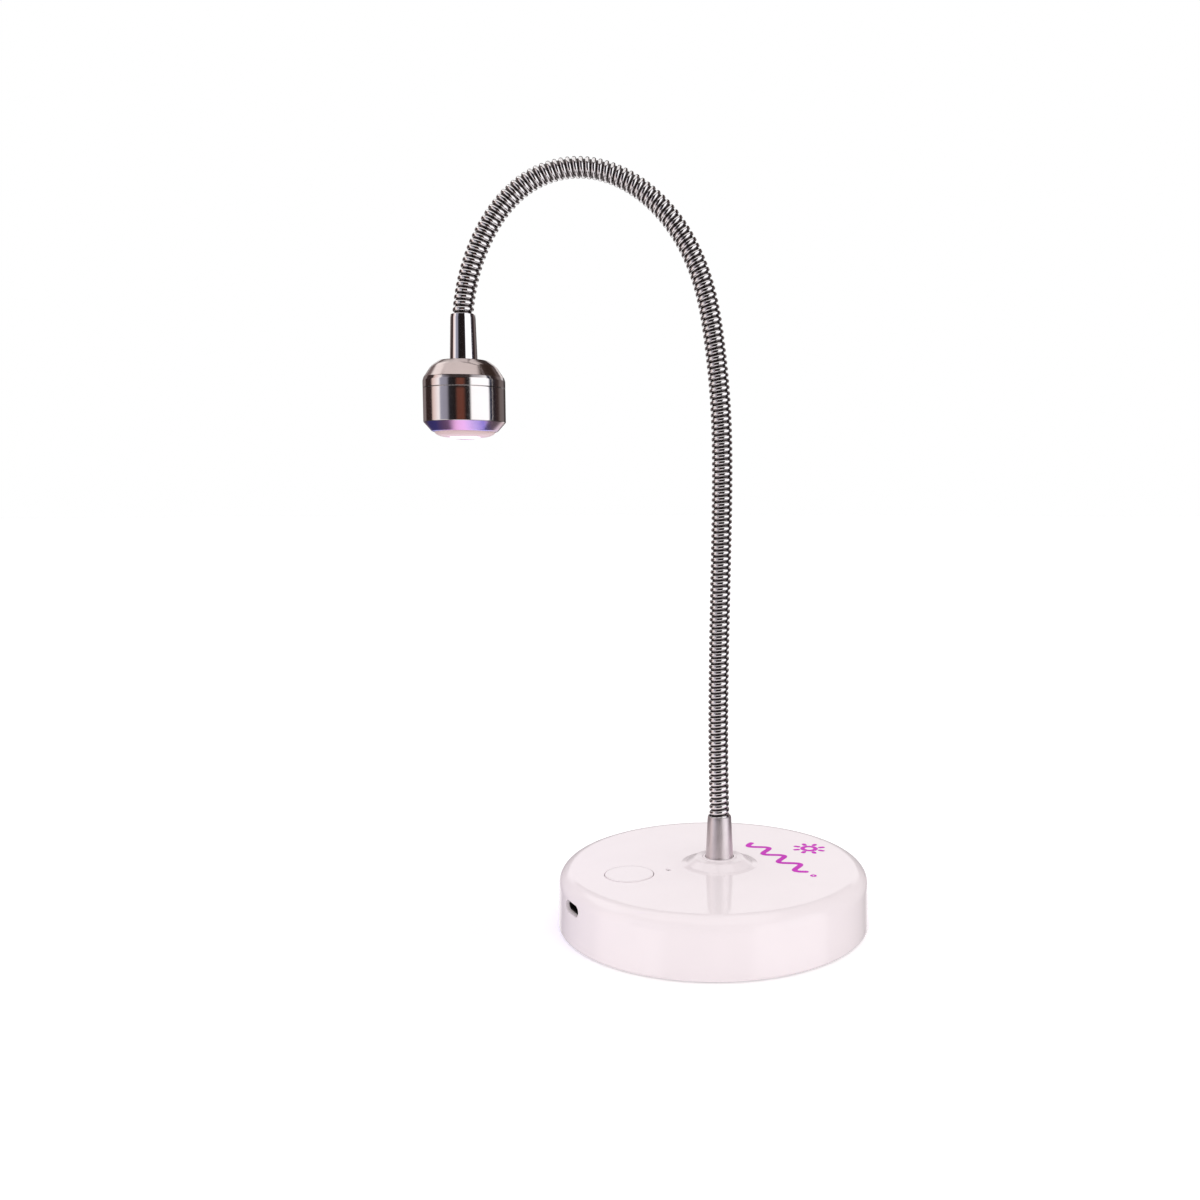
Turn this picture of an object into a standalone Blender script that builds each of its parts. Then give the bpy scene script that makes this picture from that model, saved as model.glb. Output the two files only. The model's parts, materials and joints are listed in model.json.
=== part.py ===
"""Rechargeable ultraviolet curing lamp on a flexible metal neck.

A weighted round base carries a push button, a charging inlet and the electronics.
A coiled metal hose rises from its middle, bends over and holds a small turned head
whose lens points down.  Z is up, the origin is the centre of the base's underside.
The hose bends in the XZ plane at rest, with the head on the -X side.

All the driving dimensions are in millimetres; MM turns them into metres.
"""

import math

import bmesh
import bpy
from mathutils import Matrix, Vector

MM = 0.001

# ---------------------------------------------------------------- base
BASE_R_TOP = 49.8          # side wall radius just below the top edge
BASE_R_FOOT = 50.2         # the wall widens slightly towards the table
BASE_TOP = 18.6            # height of the flat top
TOP_FILLET = 4.4           # radius of the rounded top edge
SHELL_FOOT = 0.4           # the wall stops just above the table
WALL = 2.4
ROOF = 2.0
ROOF_UNDER = BASE_TOP - ROOF

NECK_X = 2.0               # the neck stands 2 mm off the base's centre
COLLAR_R = 11.2
COLLAR_TOP = 20.7
STEM_R = 4.0
GAP = 0.3                  # clearance between neighbouring pieces

BUTTON_AT = (-26.7, -11.0)
BUTTON_R = 7.6
BUTTON_TRAVEL = 0.6
LIGHT_AT = (-14.4, -6.9)
LIGHT_R = 0.5

BOARD_YAW = -153.0         # the electronics lie along this direction
PORT_YAW = -151.0          # direction of the charging inlet
PORT_Z = 12.35
PORT_W, PORT_H = 9.4, 3.6
BOARD_Z0, BOARD_Z1 = 9.0, 10.6
PART_Z0 = BOARD_Z1 + GAP   # where the board's components start

COVER_Z0, COVER_Z1 = 1.3, 3.3
BALLAST_Z0, BALLAST_Z1 = 3.6, 7.6
POSTS = ((24.0, 30.0), (24.0, -30.0), (-22.0, 32.0), (-22.0, -32.0))
BOARD_POSTS = ((18.0, 10.0), (18.0, -10.0))
POST_R, POST_BORE = 3.2, 1.55
BOARD_POST_R, BOARD_POST_BORE = 2.4, 1.3

# ---------------------------------------------------------------- neck
FERRULE_FOOT = 21.0
FERRULE_TOP = 34.5
HOSE_R = 3.25
HOSE_BORE = 1.6
SOCKET_R = HOSE_R + GAP    # each section's hollow end clears the round end below it
HOSE_LENGTH = 288.0
JOINTS = 14
PITCH = HOSE_LENGTH / JOINTS
# how far the hose leans from upright (degrees, towards -X) at distances along it
ROUTE = (
    (0.0, 1.5), (60.0, -1.0), (110.0, 0.0), (140.0, 5.5), (160.0, 10.5), (178.0, 24.5),
    (196.0, 44.0), (214.0, 69.5), (232.0, 104.0), (250.0, 137.0), (268.0, 157.5),
    (289.0, 175.0),
)

# ---------------------------------------------------------------- head
HEAD_X = -78.2
UPPER_FERRULE_TOP = 193.9
UPPER_FERRULE_FOOT = 179.8
ELBOW_Z = UPPER_FERRULE_TOP + 0.35 + HOSE_R
CAP_TOP = 179.5
HEAD_R = 12.7
SEAM_Z = 171.5
CHAMFER_Z = 160.6
HEAD_FOOT = 157.2
LENS_FOOT = 156.0


# ================================================================ helpers
for old in list(bpy.data.objects):
    bpy.data.objects.remove(old, do_unlink=True)

lamp = bpy.data.collections.new("uv_curing_lamp")
tools = bpy.data.collections.new("cutters")
bpy.context.scene.collection.children.link(lamp)
bpy.context.scene.collection.children.link(tools)


def material(name, colour, roughness, metallic=0.0, alpha=1.0):
    mat = bpy.data.materials.new(name)
    mat.use_nodes = True
    shader = mat.node_tree.nodes["Principled BSDF"]
    shader.inputs["Base Color"].default_value = (*colour, 1.0)
    shader.inputs["Roughness"].default_value = roughness
    shader.inputs["Metallic"].default_value = metallic
    shader.inputs["Alpha"].default_value = alpha
    mat.diffuse_color = (*colour, alpha)
    return mat


WHITE = material("white_gloss", (0.90, 0.85, 0.87), 0.18)
BUTTON_WHITE = material("button_white", (0.90, 0.86, 0.88), 0.25)
CHROME = material("hose_chrome", (0.80, 0.80, 0.81), 0.12, 1.0)
SATIN = material("satin_steel", (0.62, 0.61, 0.60), 0.32, 1.0)
POLISHED = material("polished_steel", (0.72, 0.69, 0.68), 0.16, 1.0)
FERRULE_CHROME = material("ferrule_chrome", (0.82, 0.81, 0.82), 0.06, 1.0)
COVER_WHITE = material("cover_white", (0.86, 0.84, 0.85), 0.45)
RUBBER = material("foot_rubber", (0.08, 0.08, 0.085), 0.85)
ZINC = material("zinc_steel", (0.55, 0.56, 0.58), 0.40, 1.0)
SCREW_STEEL = material("screw_steel", (0.60, 0.60, 0.62), 0.30, 1.0)
FOIL = material("battery_foil", (0.62, 0.65, 0.70), 0.35, 0.4)
FOAM = material("grey_foam", (0.16, 0.16, 0.17), 0.95)
BOARD_GREEN = material("board_green", (0.03, 0.22, 0.09), 0.45)
CHIP_BLACK = material("chip_black", (0.02, 0.02, 0.022), 0.40)
CONNECTOR = material("connector_ivory", (0.83, 0.80, 0.72), 0.50)
CABLE = material("cable_grey", (0.20, 0.20, 0.21), 0.60)
LIGHT_CLEAR = material("clear_acrylic", (0.93, 0.95, 0.97), 0.08)
LENS_CLEAR = material("lens_acrylic", (0.90, 0.78, 0.98), 0.05)
HOLDER = material("lens_holder_ivory", (0.86, 0.74, 0.74), 0.35)
ALUMINIUM = material("raw_aluminium", (0.78, 0.78, 0.79), 0.38, 1.0)
BOARD_WHITE = material("board_white", (0.85, 0.85, 0.84), 0.45)
EMITTER = material("emitter_yellow", (0.75, 0.70, 0.35), 0.30)


def add(name, mesh, mat=None, at=(0.0, 0.0, 0.0), turn=None, cutter=False):
    """Links a new object, placed in millimetres."""
    obj = bpy.data.objects.new(name, mesh)
    obj.location = [v * MM for v in at]
    if turn is not None:
        obj.rotation_euler = turn
    if cutter:
        tools.objects.link(obj)
        obj.hide_render = True
        obj.display_type = "WIRE"
    else:
        lamp.objects.link(obj)
        mesh.materials.append(mat)
    return obj


def turned(name, profile, steps, mat=None, ring=False, cutter=False, **place):
    """Spins a profile of (radius, height) pairs about Z.

    The profile runs down the outer side; a ring also comes back up its bore, and a
    solid starts and ends on the axis.
    """
    mesh = bpy.data.meshes.new(name)
    points = [(r * MM, 0.0, z * MM) for r, z in profile]
    edges = [(i, i + 1) for i in range(len(points) - 1)]
    if ring:
        edges.append((len(points) - 1, 0))
    mesh.from_pydata(points, edges, [])
    obj = add(name, mesh, mat, cutter=cutter, **place)
    spin = obj.modifiers.new("turn", "SCREW")
    spin.axis = "Z"
    spin.angle = math.tau
    spin.steps = spin.render_steps = steps
    spin.use_merge_vertices = True
    spin.merge_threshold = 0.000005
    spin.use_smooth_shade = True
    return obj


def block(name, size, mat=None, at=(0.0, 0.0, 0.0), yaw=0.0, round_by=0.0, segments=2, cutter=False):
    """A box, optionally with its edges rounded."""
    mesh = bpy.data.meshes.new(name)
    bm = bmesh.new()
    bmesh.ops.create_cube(bm, size=1.0)
    bmesh.ops.scale(bm, vec=Vector(size) * MM, verts=bm.verts)
    bm.to_mesh(mesh)
    bm.free()
    obj = add(name, mesh, mat, at=at, turn=(0.0, 0.0, math.radians(yaw)), cutter=cutter)
    if round_by:
        bevel = obj.modifiers.new("edges", "BEVEL")
        bevel.width = round_by * MM
        bevel.segments = segments
        bevel.limit_method = "NONE"
    return obj


def slot_prism(name, length, width, height, mat=None, at=(0.0, 0.0, 0.0), yaw=0.0, segments=4, cutter=False):
    """A bar along its local X whose section is a slot with round ends."""
    mesh = bpy.data.meshes.new(name)
    bm = bmesh.new()
    bmesh.ops.create_cube(bm, size=1.0)
    bmesh.ops.scale(bm, vec=Vector((length, width, height)) * MM, verts=bm.verts)
    long_edges = [
        e for e in bm.edges
        if abs(e.verts[0].co.x - e.verts[1].co.x) > 0.5 * length * MM
    ]
    bmesh.ops.bevel(
        bm, geom=long_edges, offset=0.49 * height * MM, segments=segments,
        profile=0.5, affect="EDGES",
    )
    bm.to_mesh(mesh)
    bm.free()
    return add(name, mesh, mat, at=at, turn=(0.0, 0.0, math.radians(yaw)), cutter=cutter)


def rod(name, radius, z0, z1, at=(0.0, 0.0), sides=24, mat=None, cutter=False):
    """An upright cylinder (or hexagon) between two heights."""
    mesh = bpy.data.meshes.new(name)
    bm = bmesh.new()
    bmesh.ops.create_cone(
        bm, cap_ends=True, segments=sides, radius1=radius * MM, radius2=radius * MM,
        depth=(z1 - z0) * MM,
    )
    bm.to_mesh(mesh)
    bm.free()
    return add(name, mesh, mat, at=(at[0], at[1], (z0 + z1) / 2), cutter=cutter)


def boolean(target, operation, *others):
    for other in others:
        step = target.modifiers.new(other.name, "BOOLEAN")
        step.operation = operation
        step.solver = "EXACT"
        step.object = other


def cut(target, *others):
    boolean(target, "DIFFERENCE", *others)


def join(target, *others):
    boolean(target, "UNION", *others)


def arc(cx, cz, radius, start, stop, count):
    """Points along a circular arc in the profile plane, angles in degrees from +r."""
    return [
        (
            cx + radius * math.cos(math.radians(start + (stop - start) * i / count)),
            cz + radius * math.sin(math.radians(start + (stop - start) * i / count)),
        )
        for i in range(count + 1)
    ]


def from_board(u, v):
    """Base coordinates of a point u along the board's direction and v to its left."""
    a = math.radians(BOARD_YAW)
    return (u * math.cos(a) - v * math.sin(a), u * math.sin(a) + v * math.cos(a))


def smooth_line(points, per_span):
    """A Catmull-Rom curve through points in millimetres."""
    pts = [Vector(p) for p in points]
    pts = [2 * pts[0] - pts[1]] + pts + [2 * pts[-1] - pts[-2]]
    out = []
    for i in range(1, len(pts) - 2):
        a, b, c, d = pts[i - 1:i + 3]
        for n in range(per_span):
            t = n / per_span
            out.append(
                0.5 * (2 * b + (c - a) * t + (2 * a - 5 * b + 4 * c - d) * t ** 2
                       + (3 * b - a - 3 * c + d) * t ** 3)
            )
    out.append(pts[-2])
    return out


def cable(name, points, radius, per_span=4, parent=None):
    """A round lead along a smooth line."""
    curve = bpy.data.curves.new(name, "CURVE")
    curve.dimensions = "3D"
    curve.bevel_depth = radius * MM
    curve.bevel_resolution = 1
    curve.use_fill_caps = True
    line = curve.splines.new("POLY")
    route = smooth_line(points, per_span)
    line.points.add(len(route) - 1)
    shift = Vector(parent.location) if parent else Vector((0.0, 0.0, 0.0))
    for point, place in zip(line.points, route):
        point.co = (*(place * MM - shift), 1.0)
    curve.materials.append(CABLE)
    obj = bpy.data.objects.new(name, curve)
    lamp.objects.link(obj)
    if parent:
        obj.parent = parent
    return obj


# ================================================================ hose route
def lean(s):
    """The hose's lean from upright at a distance along it, in radians."""
    for i in range(len(ROUTE) - 1):
        if s <= ROUTE[i + 1][0] or i == len(ROUTE) - 2:
            break
    slopes = []
    for k in (i, i + 1):
        a, b = ROUTE[max(k - 1, 0)], ROUTE[min(k + 1, len(ROUTE) - 1)]
        slopes.append((b[1] - a[1]) / (b[0] - a[0]))
    (s0, h0), (s1, h1) = ROUTE[i], ROUTE[i + 1]
    w = s1 - s0
    t = (s - s0) / w
    value = (
        (2 * t ** 3 - 3 * t ** 2 + 1) * h0 + (t ** 3 - 2 * t ** 2 + t) * w * slopes[0]
        + (-2 * t ** 3 + 3 * t ** 2) * h1 + (t ** 3 - t ** 2) * w * slopes[1]
    )
    return math.radians(value)


def route_points(distances, step=0.25):
    """Points (x, z) on the hose's centre line at the given distances, in order."""
    x, z, s = NECK_X, FERRULE_TOP, 0.0
    out = []
    for target in distances:
        while s < target - 1e-9:
            d = min(step, target - s)
            angle = lean(s + d / 2)
            x -= math.sin(angle) * d
            z += math.cos(angle) * d
            s += d
        out.append((x, z))
    return out


HINGES = route_points([PITCH * (k + 0.5) for k in range(JOINTS)])
HINGES[0] = (NECK_X, HINGES[0][1])      # the first section stands upright


# ================================================================ base shell
shell_profile = (
    [(0.0, BASE_TOP)]
    + arc(BASE_R_TOP - TOP_FILLET, BASE_TOP - TOP_FILLET, TOP_FILLET, 90, 0, 5)
    + [(BASE_R_FOOT - 0.05, SHELL_FOOT + 0.6), (BASE_R_FOOT - 0.5, SHELL_FOOT)]
    + [(BASE_R_TOP - WALL + 0.2, SHELL_FOOT)]
    + arc(BASE_R_TOP - WALL - 2.4, ROOF_UNDER - 2.4, 2.4, 0, 90, 2)
    + [(0.0, ROOF_UNDER)]
)
base_shell = turned("base_shell", shell_profile, 52, WHITE)

collar = turned(
    "collar_form",
    [(0.0, COLLAR_TOP), (8.9, COLLAR_TOP)]
    + arc(8.9, COLLAR_TOP - 1.3, 1.3, 60, 10, 3)
    + [(10.6, BASE_TOP + 0.35), (COLLAR_R, BASE_TOP - 0.25), (COLLAR_R, BASE_TOP - 1.0), (0.0, BASE_TOP - 1.0)],
    32, cutter=True, at=(NECK_X, 0.0, 0.0),
)
posts = [
    rod(f"post_form_{n + 1}", POST_R, COVER_Z1 + GAP, ROOF_UNDER + 0.5, from_board(*p), 16, cutter=True)
    for n, p in enumerate(POSTS)
]
board_posts = [
    rod(f"board_post_form_{n + 1}", BOARD_POST_R, BOARD_Z1 + GAP, ROOF_UNDER + 0.5, from_board(*p), 14, cutter=True)
    for n, p in enumerate(BOARD_POSTS)
]
join(base_shell, collar, *posts, *board_posts)

post_bores = [
    rod(f"post_bore_{n + 1}", POST_BORE, 0.0, 12.5, from_board(*p), 12, cutter=True)
    for n, p in enumerate(POSTS)
]
board_bores = [
    rod(f"board_post_bore_{n + 1}", BOARD_POST_BORE, 5.0, 15.4, from_board(*p), 12, cutter=True)
    for n, p in enumerate(BOARD_POSTS)
]
neck_hole = rod("neck_hole", STEM_R + GAP, 10.0, 25.0, (NECK_X, 0.0), 32, cutter=True)
button_hole = rod("button_hole", BUTTON_R + GAP, ROOF_UNDER - 1.0, 22.0, BUTTON_AT, 32, cutter=True)
light_hole = rod("light_hole", LIGHT_R + GAP, ROOF_UNDER - 1.0, 22.0, LIGHT_AT, 12, cutter=True)
port_dir = (math.cos(math.radians(PORT_YAW)), math.sin(math.radians(PORT_YAW)))
port_hole = slot_prism(
    "port_hole", 8.0, PORT_W, PORT_H, at=(port_dir[0] * 49.5, port_dir[1] * 49.5, PORT_Z),
    yaw=PORT_YAW, segments=5, cutter=True,
)
cut(base_shell, *post_bores, *board_bores, neck_hole, button_hole, light_hole, port_hole)

# ---------------------------------------------------------------- underside
turned(
    "anti_slip_pad",
    [(0.0, 1.0), (44.8, 1.0), (45.0, 0.8), (45.0, 0.2), (44.8, 0.0), (0.0, 0.0)], 40, RUBBER,
)
cover = turned(
    "bottom_cover",
    [(0.0, COVER_Z1), (46.9, COVER_Z1), (47.2, COVER_Z1 - 0.3), (47.2, COVER_Z0), (0.0, COVER_Z0)],
    40, COVER_WHITE,
)
SINK = [(0.0, COVER_Z1 + 0.4), (1.65, COVER_Z1 + 0.4), (1.65, 3.05), (2.8, 1.9), (2.8, 0.9), (0.0, 0.9)]
SCREW = [
    (0.0, 11.5), (1.0, 11.5), (1.25, 11.2), (1.25, 2.95), (2.45, 1.75), (2.45, 1.4),
    (1.1, 1.4), (1.1, 2.2), (0.0, 2.2),
]
for n, p in enumerate(POSTS):
    x, y = from_board(*p)
    cut(cover, turned(f"sink_{n + 1}", SINK, 12, cutter=True, at=(x, y, 0.0)))
    turned(f"cover_screw_{n + 1}", SCREW, 12, SCREW_STEEL, at=(x, y, 0.0))

ballast = turned(
    "ballast_plate",
    [(0.0, BALLAST_Z1), (41.6, BALLAST_Z1), (42.0, BALLAST_Z1 - 0.4), (42.0, BALLAST_Z0), (0.0, BALLAST_Z0)],
    36, ZINC,
)
cut(ballast, *[
    rod(f"ballast_hole_{n + 1}", POST_R + 0.5, 2.0, 10.0, from_board(*p), 16, cutter=True)
    for n, p in enumerate(POSTS)
])

# ---------------------------------------------------------------- power supply
battery_at = from_board(-26.0, 0.0)
block("battery_pad", (26.0, 40.0, 0.6), FOAM, at=(*battery_at, 8.2), yaw=BOARD_YAW)
block("battery_cell", (28.0, 44.0, 5.8), FOIL, at=(*battery_at, 11.7), yaw=BOARD_YAW, round_by=1.6, segments=3)

board = block(
    "control_board", (31.0, 26.0, BOARD_Z1 - BOARD_Z0), BOARD_GREEN,
    at=(*from_board(28.5, 0.0), (BOARD_Z0 + BOARD_Z1) / 2), yaw=BOARD_YAW,
)
cut(board, *[
    rod(f"board_hole_{n + 1}", 1.3, 7.0, 13.0, from_board(*p), 14, cutter=True)
    for n, p in enumerate(BOARD_POSTS)
])
BOARD_SCREW = [
    (0.0, 14.6), (0.7, 14.6), (0.95, 14.3), (0.95, 8.7), (1.8, 8.7), (1.9, 8.3), (1.7, 7.95),
    (0.7, 7.95), (0.7, 8.35), (0.0, 8.35),
]
for n, p in enumerate(BOARD_POSTS):
    x, y = from_board(*p)
    turned(f"board_screw_{n + 1}", BOARD_SCREW, 10, SCREW_STEEL, at=(x, y, 0.0))


def on_board(name, u, v, size, mat, round_by=0.0, yaw=BOARD_YAW, at=None):
    """A component standing on the board."""
    x, y = at if at else from_board(u, v)
    return block(
        name, size, mat, at=(x, y, PART_Z0 + size[2] / 2), yaw=yaw, round_by=round_by, segments=1,
    )


on_board("charge_chip", 36.0, 8.5, (4.0, 4.0, 0.9), CHIP_BLACK, 0.15)
on_board("driver_inductor", 37.5, -8.2, (5.0, 5.0, 2.4), CHIP_BLACK, 0.6)
on_board("status_led", 0.0, 0.0, (1.6, 0.9, 0.6), CONNECTOR, at=LIGHT_AT)

SOCKET_OUT = (6.0, 5.0, 3.4)
battery_connector = on_board("battery_connector", 27.0, 10.0, SOCKET_OUT, CONNECTOR)
cut(battery_connector, block(
    "battery_socket", (4.4, 4.0, 2.0), at=(*from_board(27.0, 12.0), PART_Z0 + 1.7), yaw=BOARD_YAW, cutter=True,
))
lead_connector = on_board("lead_connector", 21.4, -4.9, (4.4, 4.4, 3.4), CONNECTOR)
cut(lead_connector, block(
    "lead_socket", (3.6, 3.2, 2.2), at=(*from_board(19.6, -4.9), PART_Z0 + 1.7), yaw=BOARD_YAW, cutter=True,
))

switch = on_board("tact_switch", 0.0, 0.0, (6.0, 6.0, 3.1), CHIP_BLACK, 0.2, at=BUTTON_AT)
cut(switch, rod("plunger_hole", 2.0, 12.0, 16.0, BUTTON_AT, 20, cutter=True))
turned(
    "switch_plunger",
    [(0.0, 15.0), (1.4, 15.0), (1.7, 14.8), (1.7, 12.9), (0.0, 12.9)], 20, CONNECTOR,
    at=(*BUTTON_AT, 0.0),
)
turned(
    "power_button",
    [(0.0, BASE_TOP), (7.2, BASE_TOP), (7.48, BASE_TOP - 0.12), (BUTTON_R, BASE_TOP - 0.4),
     (BUTTON_R, ROOF_UNDER - GAP), (9.2, ROOF_UNDER - GAP), (9.2, 15.3), (0.0, 15.3)],
    32, BUTTON_WHITE, at=(*BUTTON_AT, 0.0),
)
turned(
    "light_pipe",
    [(0.0, BASE_TOP - 0.05), (LIGHT_R, BASE_TOP - 0.1), (LIGHT_R, ROOF_UNDER - GAP),
     (1.2, ROOF_UNDER - GAP), (1.2, 15.5), (LIGHT_R, 15.2), (LIGHT_R, 11.8), (0.0, 11.8)],
    12, LIGHT_CLEAR, at=(*LIGHT_AT, 0.0),
)

# charging inlet: a drawn metal shell open at its mouth, with the contact tongue inside
PORT_MOUTH = 47.0
PORT_BODY = 7.0
mid = PORT_MOUTH - PORT_BODY / 2
inlet = slot_prism(
    "usb_c_receptacle", PORT_BODY, 8.8, 3.0, SATIN,
    at=(port_dir[0] * mid, port_dir[1] * mid, PART_Z0 + 1.5), yaw=PORT_YAW, segments=5,
)
cut(inlet, slot_prism(
    "inlet_hollow", 6.0, 8.2, 2.4,
    at=(port_dir[0] * (mid + 1.0), port_dir[1] * (mid + 1.0), PART_Z0 + 1.5), yaw=PORT_YAW,
    segments=5, cutter=True,
))
join(inlet, block(
    "inlet_tongue", (5.6, 6.6, 0.7),
    at=(port_dir[0] * (mid - 0.1), port_dir[1] * (mid - 0.1), PART_Z0 + 1.5), yaw=PORT_YAW, cutter=True,
))

# ================================================================ neck foot
turned(
    "neck_washer",
    [(STEM_R + GAP, 16.3), (6.3, 16.3), (6.5, 16.1), (6.5, 15.4), (STEM_R + GAP, 15.4)],
    24, SCREW_STEEL, ring=True, at=(NECK_X, 0.0, 0.0),
)
lock_nut = rod("neck_lock_nut", 6.9, 12.3, 15.1, (NECK_X, 0.0), 6, SCREW_STEEL)
cut(lock_nut, rod("lock_nut_bore", STEM_R + GAP, 11.0, 16.0, (NECK_X, 0.0), 24, cutter=True))

turned(
    "lower_ferrule",
    [
        (3.0, FERRULE_TOP), (3.62, FERRULE_TOP), (3.78, FERRULE_TOP - 0.25), (4.42, FERRULE_FOOT + 1.0),
        (4.95, FERRULE_FOOT + 0.7), (5.05, FERRULE_FOOT + 0.4), (4.95, FERRULE_FOOT),
        (STEM_R, FERRULE_FOOT), (STEM_R, 11.9), (STEM_R - 0.2, 11.7), (1.7, 11.7), (1.7, 27.6), (3.0, 28.1),
    ],
    24, SATIN, ring=True, at=(NECK_X, 0.0, 0.0),
)

lead_start = from_board(18.9, -4.9)
lead_mid = from_board(12.5, -4.8)
lead_low = from_board(6.5, -2.6)
cable(
    "base_lead",
    [
        (*lead_start, 12.6), (*lead_mid, 12.0), (*lead_low, 9.4), (NECK_X - 2.2, -0.9, 8.95),
        (NECK_X - 0.55, -0.2, 9.7), (NECK_X, 0.0, 11.4), (NECK_X, 0.0, 20.0), (NECK_X, 0.0, 32.0),
        (NECK_X, 0.0, 44.0),
    ],
    0.85, 2,
)
cable(
    "battery_lead",
    [
        (*from_board(-11.6, 14.0), 12.0), (*from_board(-4.0, 15.6), 12.0), (*from_board(6.0, 17.2), 12.1),
        (*from_board(16.0, 17.6), 12.3), (*from_board(24.5, 17.0), 12.5), (*from_board(27.0, 15.0), 12.6),
        (*from_board(27.0, 12.9), 12.6),
    ],
    0.75, 2,
)

# ================================================================ hose
SIDES = 14


def sphere_end(centre, start=math.degrees(math.asin(HOSE_BORE / HOSE_R))):
    """Profile of the round end, from the bore out to the widest point."""
    return [
        (HOSE_R * math.sin(math.radians(a)), centre + HOSE_R * math.cos(math.radians(a)))
        for a in (start, start + 20.0, start + 40.0, 90.0)
    ]


def socket_end():
    """Profile of the hollow end around a joint at the origin, from outside to the bore."""
    first = math.degrees(math.asin(HOSE_R / SOCKET_R))
    last = math.degrees(math.asin(HOSE_BORE / SOCKET_R))
    return [
        (SOCKET_R * math.sin(math.radians(a)), SOCKET_R * math.cos(math.radians(a)))
        for a in (first, (first + last) / 2, last)
    ]


joint_marks = []
for k, (x, z) in enumerate(HINGES):
    mark = bpy.data.objects.new(f"neck_joint_{k + 1:02d}", None)
    mark.location = (x * MM, 0.0, z * MM)
    mark.empty_display_size = 0.004
    tools.objects.link(mark)
    joint_marks.append(mark)

first_hinge = HINGES[0][1]
turned(
    "hose_section_00",
    sphere_end(first_hinge)
    + [(HOSE_R, FERRULE_TOP + GAP), (2.7, FERRULE_TOP + GAP), (2.7, 28.6), (HOSE_BORE, 28.6)],
    SIDES, CHROME, ring=True, at=(NECK_X, 0.0, 0.0),
)
for k in range(JOINTS - 1):
    (x0, z0), (x1, z1) = HINGES[k], HINGES[k + 1]
    tilt = math.atan2(x1 - x0, z1 - z0)
    section = turned(
        f"hose_section_{k + 1:02d}", sphere_end(math.hypot(x1 - x0, z1 - z0)) + socket_end(),
        SIDES, CHROME, ring=True, turn=(0.0, tilt, 0.0),
    )
    section.parent = joint_marks[k]

# the last section leans into the head's ferrule and turns upright inside it
head_mark = joint_marks[-1]
hx, hz = HINGES[-1]


def on_head(obj, x=HEAD_X):
    """Parents a piece that was placed in base coordinates to the last joint."""
    obj.location = Vector(obj.location) + Vector((x * MM, 0.0, 0.0)) - Vector(head_mark.location)
    obj.parent = head_mark
    return obj


tilt = math.atan2(HEAD_X - hx, ELBOW_Z - hz)
run = math.hypot(HEAD_X - hx, ELBOW_Z - hz)
last_section = turned(
    f"hose_section_{JOINTS:02d}",
    [(0.0, run + HOSE_R)]
    + [
        (HOSE_R * math.sin(math.radians(a)), run + HOSE_R * math.cos(math.radians(a)))
        for a in (22.0, 45.0, 68.0, 90.0)
    ]
    + socket_end()[:-1]
    + [(HOSE_BORE, socket_end()[-1][1]), (0.0, socket_end()[-1][1])],
    SIDES, CHROME, turn=(0.0, tilt, 0.0),
)
last_section.parent = head_mark
spigot = rod("spigot_form", 2.7, UPPER_FERRULE_TOP - 6.2, ELBOW_Z - 0.5, (0.0, 0.0), SIDES, cutter=True)
on_head(spigot)
join(last_section, spigot)
bore_down = rod("spigot_bore", HOSE_BORE, UPPER_FERRULE_TOP - 9.0, ELBOW_Z + 0.4, (0.0, 0.0), 12, cutter=True)
on_head(bore_down)
bore_up = rod("elbow_bore", HOSE_BORE * 0.98, -1.0, run + 0.3, (0.0, 0.0), 12, cutter=True)
bore_up.rotation_euler = (0.0, tilt, 0.0)
bore_up.location = Matrix.Rotation(tilt, 3, "Y") @ Vector((0.0, 0.0, (run - 0.7) / 2 * MM))
bore_up.parent = head_mark
cut(last_section, bore_down, bore_up)

# ================================================================ head
on_head(turned(
    "upper_ferrule",
    [
        (3.0, UPPER_FERRULE_TOP), (3.65, UPPER_FERRULE_TOP), (3.85, UPPER_FERRULE_TOP - 0.25),
        (4.4, UPPER_FERRULE_FOOT), (3.0, UPPER_FERRULE_FOOT), (3.0, 173.4), (2.8, 173.2), (1.7, 173.2),
        (1.7, 186.9), (3.0, 187.4),
    ],
    24, FERRULE_CHROME, ring=True,
))
on_head(turned(
    "head_cap",
    [
        (3.3, CAP_TOP), (6.7, CAP_TOP), (8.0, 179.25), (9.1, 178.55), (10.0, 177.65), (10.8, 176.75),
        (11.5, 175.85), (12.15, 174.9), (12.55, 174.1), (HEAD_R, 173.3), (HEAD_R, SEAM_Z + 0.15),
        (10.9, SEAM_Z + 0.15), (10.9, 170.75), (10.2, 170.75), (10.2, 169.45), (10.9, 169.45),
        (10.9, 168.3), (9.3, 168.3), (9.3, 173.4), (7.4, 177.0), (3.3, 177.0),
    ],
    32, POLISHED, ring=True,
))
on_head(turned(
    "cap_o_ring", arc(10.7, 170.1, 0.38, 90, -210, 5), 32, RUBBER, ring=True,
))
head_nut = rod("head_lock_nut", 4.9, 174.0, 176.7, (0.0, 0.0), 6, SCREW_STEEL)
head_nut_bore = rod("head_nut_bore", 3.3, 173.0, 178.0, (0.0, 0.0), 20, cutter=True)
on_head(head_nut)
on_head(head_nut_bore)
cut(head_nut, head_nut_bore)
on_head(turned(
    "head_barrel",
    [
        (11.2, SEAM_Z - 0.15), (HEAD_R, SEAM_Z - 0.15), (HEAD_R, CHAMFER_Z + 0.2), (HEAD_R - 0.15, CHAMFER_Z - 0.15),
        (9.5, HEAD_FOOT + 0.1), (9.3, HEAD_FOOT), (8.9, HEAD_FOOT), (8.9, 158.9), (11.2, 161.3),
    ],
    32, POLISHED, ring=True,
))
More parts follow.
